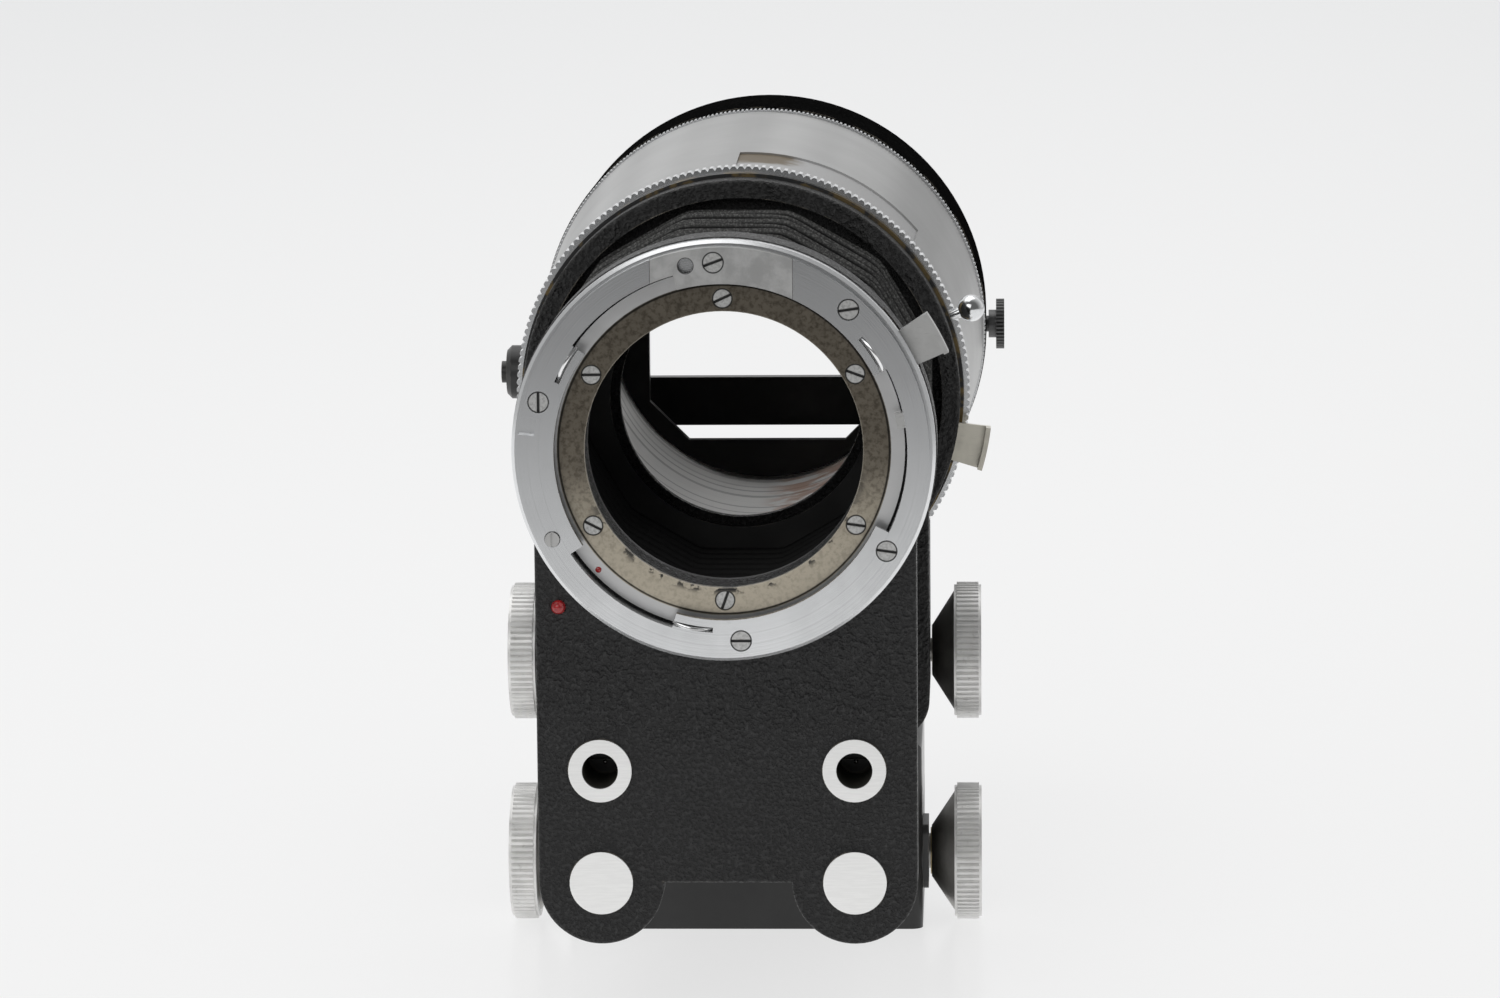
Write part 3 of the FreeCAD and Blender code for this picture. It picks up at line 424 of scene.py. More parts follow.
def worn_black_brass(name, black, brass):
    """A thin black ring rubbed through to brass along its rim, mostly on its right half."""
    paint = Paint(name)
    x, _, _ = paint.parts()
    cloud = paint.noise(0.005, 3.0, 0.65)
    worn = (cloud + x.rise(-0.03, 0.03) * 0.12).rise(0.54, 0.66)
    shade = paint.mix(worn * 0.8, rgba(black), rgba(brass))
    paint.set(Base_Color=shade, Metallic=worn, Roughness=paint.spread(cloud, 0.34, 0.52))
    return paint.bump(cloud, 0.00003, 0.6).material


def throat_nickel(name, light, brown):
    """Worn nickel of the throat ring, mottled: painted shade makes it dark brown above and beside, painted
    light makes it pale beige below; bare in patches.
    """
    paint = Paint(name)
    reach, turn = paint.round_axis()
    _, _, z = paint.parts()
    # Painted light and shade: paler towards the bottom of the ring and dark brown towards the top, with
    # tarnish heavier above.
    low = (z - AXIS_Z).rise(0.006, -0.021)
    cloud = paint.noise(0.0045, 4.0, 0.65)
    fine = paint.noise(0.0009, 3.0, 0.7)
    shade = paint.mix((low * 0.85 + cloud * 0.3).rise(0.15, 1.0), rgba(brown), rgba(light))
    shade = paint.mix(fine.rise(0.42, 0.66) * (0.6 - low * 0.4), shade, TARNISH)
    lip = reach.rise(*THROAT_LIP)
    bare = paint.noise(0.0026, 3.0, 0.6).rise(0.54, 0.60) * lip * low
    shade = paint.mix(bare, shade, grey(0.012))
    # Painted highlight: a warm pale line along sharp edges.
    shade = paint.mix(paint.edge(0.0003) * 0.6, shade, WARM_EDGE_HIGHLIGHT)
    shade = paint.mix(reach.rise(*THROAT_SEAT), shade, grey(0.62))
    joints = throat_outlines(paint, reach, turn).larger(reach.between(*THROAT_JOINT))
    shade = paint.mix(joints * 0.9, shade, grey(0.014))
    paint.set(Base_Color=shade, Metallic=1 - bare * 0.8, Roughness=paint.spread(cloud, 0.24, 0.42))
    return paint.bump(fine * 0.5 + bare * -0.6, 0.00003, 0.6).material


def cast_zinc(name, colour):
    """Dull grey beige alloy with fine blotches, for the insert at the top of the mount."""
    paint = Paint(name)
    cloud = paint.noise(0.0035, 4.0, 0.7)
    fine = paint.noise(0.0006, 2.0)
    shade = paint.mix(cloud.rise(0.38, 0.66), shaded(colour, 0.8), rgba(colour))
    shade = paint.mix(screw_outlines(paint) * 0.9, shade, JOINT)
    paint.set(Base_Color=shade, Metallic=0.9, Roughness=paint.spread(cloud, 0.36, 0.5))
    return paint.bump(fine, 0.00003, 0.6).material


def screw_steel(name, colour, top, throat=False):
    """Small plated screws, a little grey, with grime along their edges, and painted shade on all that lies
    deeper than their faces, such as the slots.
    """
    paint = Paint(name)
    fine = paint.noise(0.0005, 3.0, 0.6)
    rims = paint.edge(0.0003, 5.0)
    shade = paint.mix(fine.rise(0.4, 0.7), rgba(colour), shaded(colour, 0.7))
    shade = paint.mix(rims * 0.4, shade, GRIME)
    reach, turn = paint.round_axis()
    joints = throat_outlines(paint, reach, turn) if throat else screw_outlines(paint)
    # Painted shade: near black on all that lies deeper than the screw's face, such as the slots; dark holds
    # the real joints and this painted shade.
    slots = paint.parts()[1].rise(top + 0.0001, top + 0.0002)
    dark = joints.larger(slots)
    shade = paint.mix(dark * 0.95, shade, grey(0.012))
    paint.set(Base_Color=shade, Metallic=1 - dark * 0.8, Roughness=paint.spread(fine, 0.3, 0.5))
    return paint.bump(fine, 0.00002, 0.5).material


def bare_aluminium(name, colour, streak):
    """Bright aluminium with fine streaks across its faces and along it, a painted highlight on sharp edges,
    and painted shade in the sockets.
    """
    paint = Paint(name)
    x, y, z = paint.parts()
    aside, above = abs(x) - TUBE_X, z - TUBE_Z
    # Painted shade: the bores of the sockets are painted dark and bare of metal sheen.
    socket = ((aside * aside + above * above) ** 0.5).rise(*SOCKET_WALL) * y.rise(*SOCKET_MOUTH)
    brushed = paint.noise(0.0003, 3.0, 0.6, at=paint.stretched(0.08, 0.3, 1.0))
    cloud = paint.noise(0.008, 2.0)
    shade = paint.mix(brushed.rise(0.35, 0.7), shaded(colour, streak), rgba(colour))
    edges = paint.edge(0.00025)
    # Painted highlight: sharp edges are lightened.
    shade = paint.mix(edges * 0.3, shade, grey(0.9))
    shade = paint.mix(socket, shade, SOCKET_SHADE)
    satin = paint.spread(cloud * 0.5 + brushed * 0.5, 0.26, 0.42)
    paint.set(Base_Color=shade, Metallic=1 - socket, Roughness=satin + socket * 0.4)
    return paint.bump(brushed, 0.00001, 0.5).material


def knob_metal(name, colour, back, brass, low_knob):
    """A fluted knob: bright satin rim, grey turned cone, and a neck that is brassy on the lower pair."""
    paint = Paint(name)
    out = abs(paint.parts()[0])
    rim = out.rise(*KNOB_RIM)
    neck = out.rise(*KNOB_NECK)
    cloud = paint.noise(0.006, 3.0, 0.6)
    rings = paint.noise(0.0003, 2.0, at=paint.stretched(1.0, 0.05, 0.05))
    grime = paint.noise(0.0012, 2.0, 0.7).rise(0.58, 0.76)
    bright = paint.mix(cloud.rise(0.3, 0.7), rgba(colour), shaded(colour, 0.86))
    bright = paint.mix(grime * 0.18, bright, FLUTE_GRIME)
    cone = paint.mix(rings.rise(0.4, 0.7), rgba(back), shaded(back, 1.3))
    cone = paint.mix(neck * (1.0 if low_knob else 0.25), cone, rgba(brass))
    shade = paint.mix(rim, cone, bright)
    satin = paint.spread(cloud * 0.5 + rings * 0.5, 0.28, 0.44)
    paint.set(Base_Color=shade, Metallic=0.85 - rim * 0.4, Roughness=satin)
    return paint.bump(rings, 0.000012, 0.5).material


def cone_metal(name, colour):
    """The turned grey backs of the knobs: fine rings about the shaft, darker towards the neck with painted
    shade.
    """
    paint = Paint(name)
    rings = paint.noise(0.0003, 2.0, at=paint.stretched(1.0, 0.05, 0.05))
    cloud = paint.noise(0.005, 3.0, 0.6)
    inner = abs(paint.parts()[0]).rise(*CONE_SHADE)
    shade = paint.mix(cloud.rise(0.3, 0.7), rgba(colour), shaded(colour, 0.8))
    # Painted shade towards the neck, where the cone nears the body.
    shade = paint.mix(inner * 0.7 + rings * 0.2, shade, NECK_SHADE)
    paint.set(Base_Color=shade, Metallic=0.75, Roughness=paint.spread(cloud, 0.34, 0.46))
    return paint.bump(rings, 0.000012, 0.5).material


def polished_metal(name, colour, rough):
    """Bright polished plate with a few fine marks."""
    paint = Paint(name)
    cloud = paint.noise(0.004, 3.0, 0.6)
    marks = paint.noise(0.0004, 2.0, at=paint.stretched(0.2, 1.0, 1.0)).rise(0.62, 0.72)
    shade = paint.mix(cloud.rise(0.35, 0.7), rgba(colour), shaded(colour, 0.85))
    shade = paint.mix(marks * 0.2, shade, shaded(colour, 0.5))
    paint.set(Base_Color=shade, Metallic=1.0, Roughness=paint.spread(cloud, rough, rough + 0.12))
    return paint.bump(marks, 0.00001, 0.4).material


def sleeve_chrome(name, colour):
    """The barrel's bright bore: hard rings of light and dark plating, and rust brown low on the right."""
    paint = Paint(name)
    _, turn = paint.round_axis()
    _, y, _ = paint.parts()
    lines = paint.node("ShaderNodeCombineXYZ", (0.0, y, 0.0))
    rings = paint.noise(0.004, 2.0, 0.7, at=lines)
    fine = paint.noise(0.0003, 2.0, at=lines)
    patches = paint.noise(0.006, 3.0).rise(0.40, 0.56)
    rusty = turn.between(-0.235, -0.15, 0.02) * patches * y.between(0.03, 0.085, 0.01)
    shade = paint.mix(rings.rise(0.52, 0.6), rgba(colour), shaded(colour, 0.6))
    shade = paint.mix(fine.rise(0.4, 0.8) * 0.2, shade, grey(0.3))
    shade = paint.mix(rusty * 0.7, shade, RUST)
    paint.set(Base_Color=shade, Metallic=0.7, Roughness=paint.spread(rings, 0.34, 0.5))
    return paint.bump(rings * 0.5 + fine * 0.5, 0.0002, 0.8).material


def bronze_bush(name, colour):
    """Oiled bearing bronze, patchy and slightly porous."""
    paint = Paint(name)
    cloud = paint.noise(0.003, 3.0, 0.6)
    pores = paint.pebbles(0.0004).rise(0.1, 0.3)
    shade = paint.mix(cloud.rise(0.35, 0.7), rgba(colour), shaded(colour, 0.55))
    paint.set(Base_Color=shade, Metallic=1.0, Roughness=paint.spread(cloud, 0.34, 0.5))
    return paint.bump(pores, 0.00002, 0.5).material


def red_enamel(name, colour):
    """Glossy red enamel of the index marks, with a clear coat and tiny dimples."""
    paint = Paint(name)
    cloud = paint.noise(0.0006, 2.0)
    shade = paint.mix(cloud.rise(0.3, 0.75), rgba(colour), shaded(colour, 0.6))
    paint.set(Base_Color=shade, Roughness=paint.spread(cloud, 0.18, 0.3))
    paint.set(Coat_Weight=0.6, Coat_Roughness=0.08)
    return paint.bump(cloud, 0.00004, 0.6).material


def bellows_leather(name, colour, ridge_specks_and_highlight):
    """Black leatherette on its own map: fine pebbled grain, pale dust, and rubbed specks on the ridges over a
    painted highlight line.
    """
    paint = Paint(name)
    flat = paint.node("ShaderNodeUVMap", uv_map="cloth")
    ridge = paint.node("ShaderNodeAttribute", outlet="Fac", attribute_name="ridge")
    inside = paint.node("ShaderNodeAttribute", outlet="Fac", attribute_name="inside")
    grain = paint.pebbles(0.00055, at=flat)
    fine = paint.noise(0.0004, 3.0, 0.7, at=flat)
    specks = paint.noise(0.0004, 3.0, 0.75, at=flat).rise(0.46, 0.62)
    haze = paint.noise(0.006, 2.0, at=flat)
    # Painted highlight: a pale line along each fold's ridge, with rubbed specks on it.
    rubbed = ridge.rise(0.86, 1.0) * (1 - inside)
    shade = paint.mix(grain.rise(0.1, 0.6), shaded(colour, 1.8), shaded(colour, 0.8))
    shade = paint.mix(haze * 0.1 * (1 - inside), shade, grey(0.05))
    shade = paint.mix(rubbed * (specks * 0.6 + 0.2), shade, rgba(ridge_specks_and_highlight))
    shade = paint.mix(inside, shade, grey(0.045))
    dull = paint.spread(fine, 0.42, 0.62) + inside * 0.25
    paint.set(Base_Color=shade, Roughness=dull, Specular_IOR_Level=0.1)
    return paint.bump(grain * 0.7 + fine * 0.3, 0.00007, 0.5).material


def grid_mesh(name, points, wrap_u, wrap_v, flip=False, smooth=True):
    """A mesh of quads over a grid of points, shape (rows, columns, 3), joined end to end where wrapped."""
    rows, columns = points.shape[:2]
    index = np.arange(rows * columns).reshape(rows, columns)
    if wrap_u:
        index = np.concatenate([index, index[:1]], 0)
    if wrap_v:
        index = np.concatenate([index, index[:, :1]], 1)
    corners = [index[:-1, :-1], index[1:, :-1], index[1:, 1:], index[:-1, 1:]]
    quads = np.stack([c.ravel() for c in corners], 1)
    if flip:
        quads = quads[:, ::-1]
    mesh = bpy.data.meshes.new(name)
    mesh.from_pydata(points.reshape(-1, 3).tolist(), [], quads.tolist())
    mesh.update()
    mesh.polygons.foreach_set("use_smooth", np.full(len(mesh.polygons), smooth))
    return mesh


def add_piece(name, mesh, material):
    mesh.materials.append(material)
    piece = bpy.data.objects.new(name, mesh)
    bpy.context.scene.collection.objects.link(piece)
    return piece


def rounded_wave(phase, sharp):
    """A triangle wave from -1 to 1 with rounded tips: arcsin of sharp times the cosine, scaled back to 1."""
    return np.arcsin(sharp * np.cos(phase)) / np.arcsin(sharp)


def bellows_mesh(size):
    """Folded bellows as one closed skin.

    Across, a point goes round a polygon: its reach is the side's distance from the centre over the cosine
    of the angle from the middle of that side, with the corners eased. Along, the reach swings between
    valley and peak as a rounded triangle wave, out along the outer skin and back along the inner one, a
    wall's thickness further in.
    """
    sides, pleats = size.sides, size.pleats
    around = np.linspace(0, math.tau, sides * 10, endpoint=False)
    along = np.linspace(0, 1, pleats * 14 + 1)
    half_side = math.pi / sides
    local = np.mod(around + size.twist, 2 * half_side) - half_side
    eased = np.sign(local) * (half_side - np.sqrt((half_side - np.abs(local)) ** 2 + (0.12 * half_side) ** 2))
    polygon = math.cos(half_side) / np.cos(eased)
    phase = math.tau * pleats * along + math.pi
    wave = rounded_wave(phase, 0.997)
    middle = (size.peak + size.valley) / 2
    swing = (size.peak - size.valley) / 2
    fold = np.floor(pleats * along)
    uneven = 0.00022 * np.sin(2.1 * fold[:, None] + 3 * around[None, :]) * (wave[:, None] + 1) / 2
    lean = 0.00035 * np.sin(1.7 * fold[:, None] + 2 * around[None, :] + 0.6) * (wave[:, None] + 1) / 2
    reach = (middle + swing * wave[:, None]) * polygon[None, :] + uneven
    length = BELLOWS_HIGH[1] - BELLOWS_LOW[1]
    y = BELLOWS_LOW[1] + length * along[:, None] + lean
    inner = reach - size.wall
    radius = np.concatenate([reach, inner[::-1]], 0)
    depth = np.concatenate([y, y[::-1]], 0)
    points = np.stack([radius * np.cos(around), depth + 0 * radius, AXIS_Z + radius * np.sin(around)], 2)
    mesh = grid_mesh("bellows_skin", points, True, True)
    ridge = np.concatenate([(wave + 1) / 2, (wave[::-1] + 1) / 2])
    inside = np.concatenate([np.zeros(len(along)), np.ones(len(along))])
    for title, values in (("ridge", ridge), ("inside", inside)):
        layer = mesh.attributes.new(title, "FLOAT", "POINT")
        layer.data.foreach_set("value", np.repeat(values, len(around)).astype(np.float32))
    step = math.hypot(2 * swing, length / pleats / 2) / 7
    rows = np.arange(2 * len(along)) * step
    lay_map(mesh, rows, around * middle)
    return mesh


def lay_map(mesh, rows, columns):
    """Lays the skin flat in metres: the row's distance along the fold, and the column's distance round it."""
    count = len(columns)
    corner = np.zeros(len(mesh.loops), dtype=np.int32)
    mesh.loops.foreach_get("vertex_index", corner)
    flat = np.stack([rows[corner // count], columns[corner % count]], 1)
    layer = mesh.uv_layers.new(name="cloth")
    layer.data.foreach_set("uv", flat.astype(np.float32).ravel())


def dome_mesh(name, centre, radius, height, sink):
    """A small drop facing -Y: its reach shrinks as the cosine of the latitude and it rises as the sine."""
    around = np.linspace(0, math.tau, 24, endpoint=False)
    rise = np.linspace(0, math.pi / 2, 8)
    reach = np.concatenate([[1e-6, radius], radius * np.cos(rise[1:-1]), [1e-6]])
    depth = np.concatenate([[sink, sink], -height * np.sin(rise[1:-1]), [-height]])
    x = centre[0] + reach[:, None] * np.cos(around)
    y = centre[1] + depth[:, None] + 0 * x
    z = centre[2] + reach[:, None] * np.sin(around)
    mesh = grid_mesh(name, np.stack([x, y, z], 2), False, True)
    weld(mesh)
    return mesh


def cone_mesh(name, side, middle, small, large, inner, outer):
    """The coned back of a knob, turned about an axis along X: a straight slant from neck to rim."""
    around = np.linspace(0, math.tau, 72, endpoint=False)
    lip, ease = 0.0006, 0.0001
    reach = np.array([small - lip, small, small + ease, large - ease, large, large - lip])[:, None]
    x = np.array([inner, inner, inner + ease, outer - ease, outer, outer])[:, None]
    y = middle[1] + reach * np.cos(around)
    z = middle[2] + reach * np.sin(around)
    points = np.stack([side * x + 0 * around, y, z], 2)
    mesh = grid_mesh(name, points, True, True, smooth=False)
    weld(mesh)
    return mesh


def spring_mesh(name, start, end):
    """A leaf spring of the mount: an oval strip along an arc about the axis, bowed forwards as a sine."""
    along = np.linspace(0, 1, 40)
    angle = np.radians(start + (end - start) * along)
    swell = np.sin(math.pi * along)[:, None]
    middle = SPRING_CIRCLE + SPRING_SWAY * swell
    bow = SPRING_BACK - SPRING_RISE * swell**0.7
    turn = np.linspace(0, math.tau, 12, endpoint=False)
    taper = np.clip(swell, 0.05, 1) ** 0.5
    reach = middle + SPRING_WIDTH / 2 * taper * np.cos(turn)
    depth = bow + SPRING_THICKNESS / 2 * taper * np.sin(turn)
    points = np.stack([reach * np.cos(angle)[:, None], depth, AXIS_Z + reach * np.sin(angle)[:, None]], 2)
    caps = [np.repeat(points[i].mean(0)[None, None], 12, 1) for i in (0, -1)]
    mesh = grid_mesh(name, np.concatenate([caps[0], points, caps[1]], 0), False, True)
    weld(mesh)
    return mesh


def weld(mesh):
    """Merges doubled points and turns every face outwards."""
    work = bmesh.new()
    work.from_mesh(mesh)
    bmesh.ops.remove_doubles(work, verts=work.verts, dist=3e-6)
    bmesh.ops.recalc_face_normals(work, faces=work.faces)
    work.to_mesh(mesh)
    work.free()


def length(name, value, note):
    return bpy.props.FloatProperty(
        name=name, description=note, default=value, min=0, subtype="DISTANCE", unit="LENGTH"
    )


def angle(name, value, note):
    return bpy.props.FloatProperty(name=name, description=note, default=math.radians(value), subtype="ANGLE")


def level(name, value, note):
    return bpy.props.FloatProperty(name=name, description=note, default=value, min=0)


def tint(name, value, note):
    return bpy.props.FloatVectorProperty(
        name=name, description=note, default=value, size=3, min=0, max=1, subtype="COLOR"
    )


class BellowsSizes(bpy.types.PropertyGroup):
    """Sizes of the folded bellows."""

    sides: bpy.props.IntProperty(name="Sides", description="Flat sides round the bellows", default=12, min=4)
    pleats: bpy.props.IntProperty(name="Pleats", description="Folds along the bellows", default=10, min=2)
    twist: angle("Twist", 15, "Turn of the polygon about its axis")
    peak: length("Peak", 0.0330, "Reach of a fold's ridge at the corners of the polygon")
    valley: length("Valley", 0.0276, "Reach of a fold's bottom at the corners of the polygon")
    wall: length("Wall", 0.0010, "Thickness of the skin")


class MarkSizes(bpy.types.PropertyGroup):
    """Sizes of the small marks on the front."""

    dot_radius: length("Dot radius", 0.0005, "Radius of the red dot on the throat ring")
    dot_circle: length("Dot circle", 0.0273, "Distance of the red dot from the axis")
    dot_angle: angle("Dot angle", 223.6, "Angle of the red dot from the right")
    pip_radius: length("Pip radius", 0.0004, "Radius of the bright pip in each guide tube")
    pip_drop: length("Pip drop", 0.0009, "Distance of the pip below the middle of its tube")


class Colours(bpy.types.PropertyGroup):
    """Colours of the finishes, as reflectances."""

    enamel: tint("Enamel", (0.0145, 0.0145, 0.0148), "Black wrinkle enamel")
    satin: tint("Satin black", (0.0180, 0.0180, 0.0180), "Smooth black enamel")
    chrome: tint("Chrome", (0.78, 0.79, 0.80), "Satin chrome of the mount and rings")
    barrel: tint("Barrel", (0.46, 0.46, 0.455), "Satin chrome of the barrel")
    chrome_dark: tint("Chrome grooves", (0.24, 0.24, 0.25), "Turned grooves in the chrome")
    # The pale and dark nickel also carry painted light below and painted shade above on the throat ring.
    nickel: tint("Nickel", (0.52, 0.47, 0.38), "Pale part of the worn nickel")
    nickel_brown: tint("Brown nickel", (0.17, 0.15, 0.12), "Dark part of the worn nickel")
    zinc: tint("Insert", (0.52, 0.52, 0.515), "Dull insert at the top of the mount")
    screws: tint("Screws", (0.60, 0.60, 0.59), "Plated screws")
    aluminium: tint("Aluminium", (0.90, 0.90, 0.89), "Rods, tubes and their ends")
    knobs: tint("Knobs", (0.93, 0.925, 0.91), "Rims of the knobs")
    cones: tint("Knob cones", (0.42, 0.41, 0.39), "Coned inner sides of the knobs")
    brass: tint("Brass", (0.33, 0.27, 0.16), "Necks, rubbed edges and the clamp ring")
    bronze: tint("Bronze", (0.44, 0.27, 0.12), "Bearing bushes")
    steel: tint("Steel", (0.50, 0.49, 0.47), "Pinions and shafts")
    red: tint("Red", (0.42, 0.012, 0.014), "Index marks")
    cloth: tint("Bellows", (0.006, 0.006, 0.006), "Leatherette of the bellows")
    # Also the painted highlight line along the fold ridges.
    ridge_specks_and_highlight: tint("Ridge specks", (0.17, 0.17, 0.165), "Rubbed specks on the fold ridges")
    # Painted light and shade: the standard's enamel is lighter than the plate's, for light its shaded front
    # lacks; the housing's is darker, against the sheen on its top.
    standard: tint("Rear standard", (0.026, 0.026, 0.026), "Wrinkle enamel of the rear standard")
    housing: tint("Housing", (0.006, 0.006, 0.006), "Wrinkle enamel of the rear housing")
    bore: tint("Bore", (0.92, 0.91, 0.89), "Plating inside the barrel")
    clamp: tint("Clamp ring", (0.24, 0.18, 0.09), "Brass rubbed bare on the clamp ring")
    springs: tint("Springs", (0.92, 0.92, 0.92), "Leaf springs of the mount")
    lens_lever: tint("Lens lever", (0.66, 0.66, 0.65), "Release lever of the lens")
    rear_lever: tint("Rear lever", (0.72, 0.69, 0.60), "Release lever of the rear standard")
    thumb: tint("Thumb screw", (0.13, 0.13, 0.13), "Thumb screw of the barrel")


class StageSizes(bpy.types.PropertyGroup):
    """The camera, the lights and the white board that the unit stands on."""

    camera_place: bpy.props.FloatVectorProperty(
        name="Camera", description="Place of the camera", default=(0.03931, -0.91501, 0.20561),
        subtype="XYZ", unit="LENGTH"
    )
    yaw: angle("Yaw", 2.4328, "Turn of the view from +Y towards -X")
    pitch: angle("Pitch", 8.3716, "Dip of the view")
    roll: angle("Roll", 0.5033, "Turn of the picture about the view")
    lens: level("Lens", 129.50, "Focal length in millimetres")
    floor: tint("Floor", (0.80, 0.80, 0.80), "White board under and behind the unit")
    key_power: level("Key light", 3.5, "Power of the top light in watts")
    fill_power: level("Fill light", 3.8, "Power of the front light in watts")
    world_level: level("Room light", 0.55, "Level of the even light")
    world_seen: level("Room seen", 0.85, "Level of the room as the camera sees it")
    world_front: level("Room in front", 0.14, "Level that metal mirrors from the camera's side")
    world_back: level("Room behind", 0.85, "Level that metal mirrors from the far side")


class BellowsUnit(bpy.types.PropertyGroup):
    """Everything that a user may change on the unit."""

    bellows: bpy.props.PointerProperty(type=BellowsSizes)
    marks: bpy.props.PointerProperty(type=MarkSizes)
    colours: bpy.props.PointerProperty(type=Colours)
    stage: bpy.props.PointerProperty(type=StageSizes)


def unit():
    return bpy.context.scene.bellows_unit


class FoldBellows(bpy.types.Operator):
    """Makes the folded leatherette bellows between the front plate and the rear standard"""

    bl_idname = "bellows_unit.fold_bellows"
    bl_label = "Fold the bellows"

    def execute(self, context):
        colours = unit().colours
        leather = bellows_leather("leatherette", colours.cloth, colours.ridge_specks_and_highlight)
        piece = add_piece("bellows_folds", bellows_mesh(unit().bellows), leather)
        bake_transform(piece)
        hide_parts("bellows")
        return {"FINISHED"}


class AddMarks(bpy.types.Operator):
    """Adds the red dot on the throat ring and the bright pip in each guide tube"""

    bl_idname = "bellows_unit.add_marks"
    bl_label = "Add the small marks"

    def execute(self, context):
        marks, colours = unit().marks, unit().colours
        across = marks.dot_circle * math.cos(marks.dot_angle)
        up = AXIS_Z + marks.dot_circle * math.sin(marks.dot_angle)
        mesh = dome_mesh("throat_dot", (across, THROAT_FRONT, up), marks.dot_radius, 0.00025, 0.0003)
        dot = add_piece("throat_dot", mesh, red_enamel("red_dot", colours.red))
        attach(dot, "rail")
        steel = polished_metal("pip_steel", colours.aluminium, 0.18)
        height = TUBE_Z - marks.pip_drop
        for side, name in ((-1, "tube_pip_left"), (1, "tube_pip_right")):
            place = (side * TUBE_X, PLUGS_FRONT, height)
            pip = add_piece(name, dome_mesh(name, place, marks.pip_radius, 0.0004, 0.0003), steel)
            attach(pip, "rail")
        return {"FINISHED"}


class AddKnobCones(bpy.types.Operator):
    """Adds the long coned backs of the four knobs"""

    bl_idname = "bellows_unit.add_knob_cones"
    bl_label = "Add the knobs' cones"

    def execute(self, context):
        for pair, body, inner in (("rail", "rail_drive", 0.0315), ("rear", "rear_drive", 0.0317)):
            metal = cone_metal(pair + "_cone_metal", unit().colours.cones)
            for side, word in ((-1, "left"), (1, "right")):
                low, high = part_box(f"{pair}_knob_{word}")
                middle = [(a + b) / 2 for a, b in zip(low, high)]
                name = f"{pair}_knob_cone_{word}"
                mesh = cone_mesh(name, side, middle, CONE_SMALL, CONE_LARGE, inner, CONE_OUTER)
                piece = add_piece(name, mesh, metal)
                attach(piece, body)
        return {"FINISHED"}


class AddSprings(bpy.types.Operator):
    """Adds the three bright leaf springs in the slots of the lens mount"""

    bl_idname = "bellows_unit.add_springs"
    bl_label = "Add the mount's springs"

    def execute(self, context):
        steel = polished_metal("spring_steel", unit().colours.springs, 0.10)
        for place, start in (("upper", 143.5), ("right", 26.5), ("lower", 253.0)):
            name = "mount_spring_" + place
            piece = add_piece(name, spring_mesh(name, start, start + SPRING_ARC), steel)
            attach(piece, "rail")
        return {"FINISHED"}


class BlackFinishes(bpy.types.Operator):
    """Paints the enamelled plate, standard, housing, carriage and the parts of the picture gate"""

    bl_idname = "bellows_unit.black_finishes"
    bl_label = "Black finishes"

    def execute(self, context):
        colours = unit().colours
        paint_nodes(wrinkle_enamel("plate_wrinkle", colours.enamel, True, 0.4), "front_plate")
        # Painted light and shade: one wrinkle enamel, lighter on the standard and darker on the housing.
        paint_nodes(wrinkle_enamel("standard_wrinkle_painted_light", colours.standard, False, 0.25), "rear_standard")
        paint_nodes(wrinkle_enamel("housing_wrinkle_painted_dark", colours.housing, False, 0.0), "end_housing")
        paint_nodes(carriage_enamel("carriage_black", colours.satin), "carriage_block")
        satin = satin_enamel("satin_black", colours.satin)
        paint_nodes(satin, "tie_plate", "window_plate", "gate_bar_lower", "gate_bar_upper",
                    "bellows_front_frame", "bellows_rear_frame", "tube_plugs", "barrel_knob",
                    "rail_bearing_left", "rail_bearing_right", "rear_bearing_left", "rear_bearing_right")
        return {"FINISHED"}


class ChromeFinishes(bpy.types.Operator):
    """Finishes the lens mount, the throat, the barrel and its rings"""

    bl_idname = "bellows_unit.chrome_finishes"
    bl_label = "Chrome and nickel"

    def execute(self, context):
        colours = unit().colours
        chrome, grooves = colours.chrome, colours.chrome_dark
        paint_nodes(turned_metal("mount_chrome", chrome, grooves, 0.22, joints=True), "bayonet_ring")
        paint_nodes(turned_metal("flange_chrome", chrome, grooves, 0.22), "mount_flange")
        paint_nodes(barrel_chrome("barrel_chrome", colours.barrel, grooves), "barrel_shell")
        paint_nodes(turned_metal("ring_chrome", chrome, grooves, 0.24, 0.1),
                    "barrel_grip_ring", "end_lock_ring")
        paint_nodes(sleeve_chrome("bore_chrome", colours.bore), "barrel_sleeve", "barrel_retainer")
        paint_nodes(throat_nickel("throat_nickel", colours.nickel, colours.nickel_brown), "throat_ring")
        paint_nodes(cast_zinc("insert_zinc", colours.zinc), "bayonet_insert")
        paint_nodes(worn_black_brass("clamp_brass", colours.enamel, colours.clamp), "clamp_ring")
        paint_nodes(polished_metal("lever_chrome", chrome, 0.08), "clamp_lever")
        paint_nodes(polished_metal("lever_plate", colours.lens_lever, 0.28),
                    "lens_release_lever", "lens_release_spring")
        paint_nodes(polished_metal("lever_nickel", colours.rear_lever, 0.26), "rear_release_lever")
        paint_nodes(polished_metal("thumb_satin", colours.thumb, 0.34), "thumb_screw")
        return {"FINISHED"}


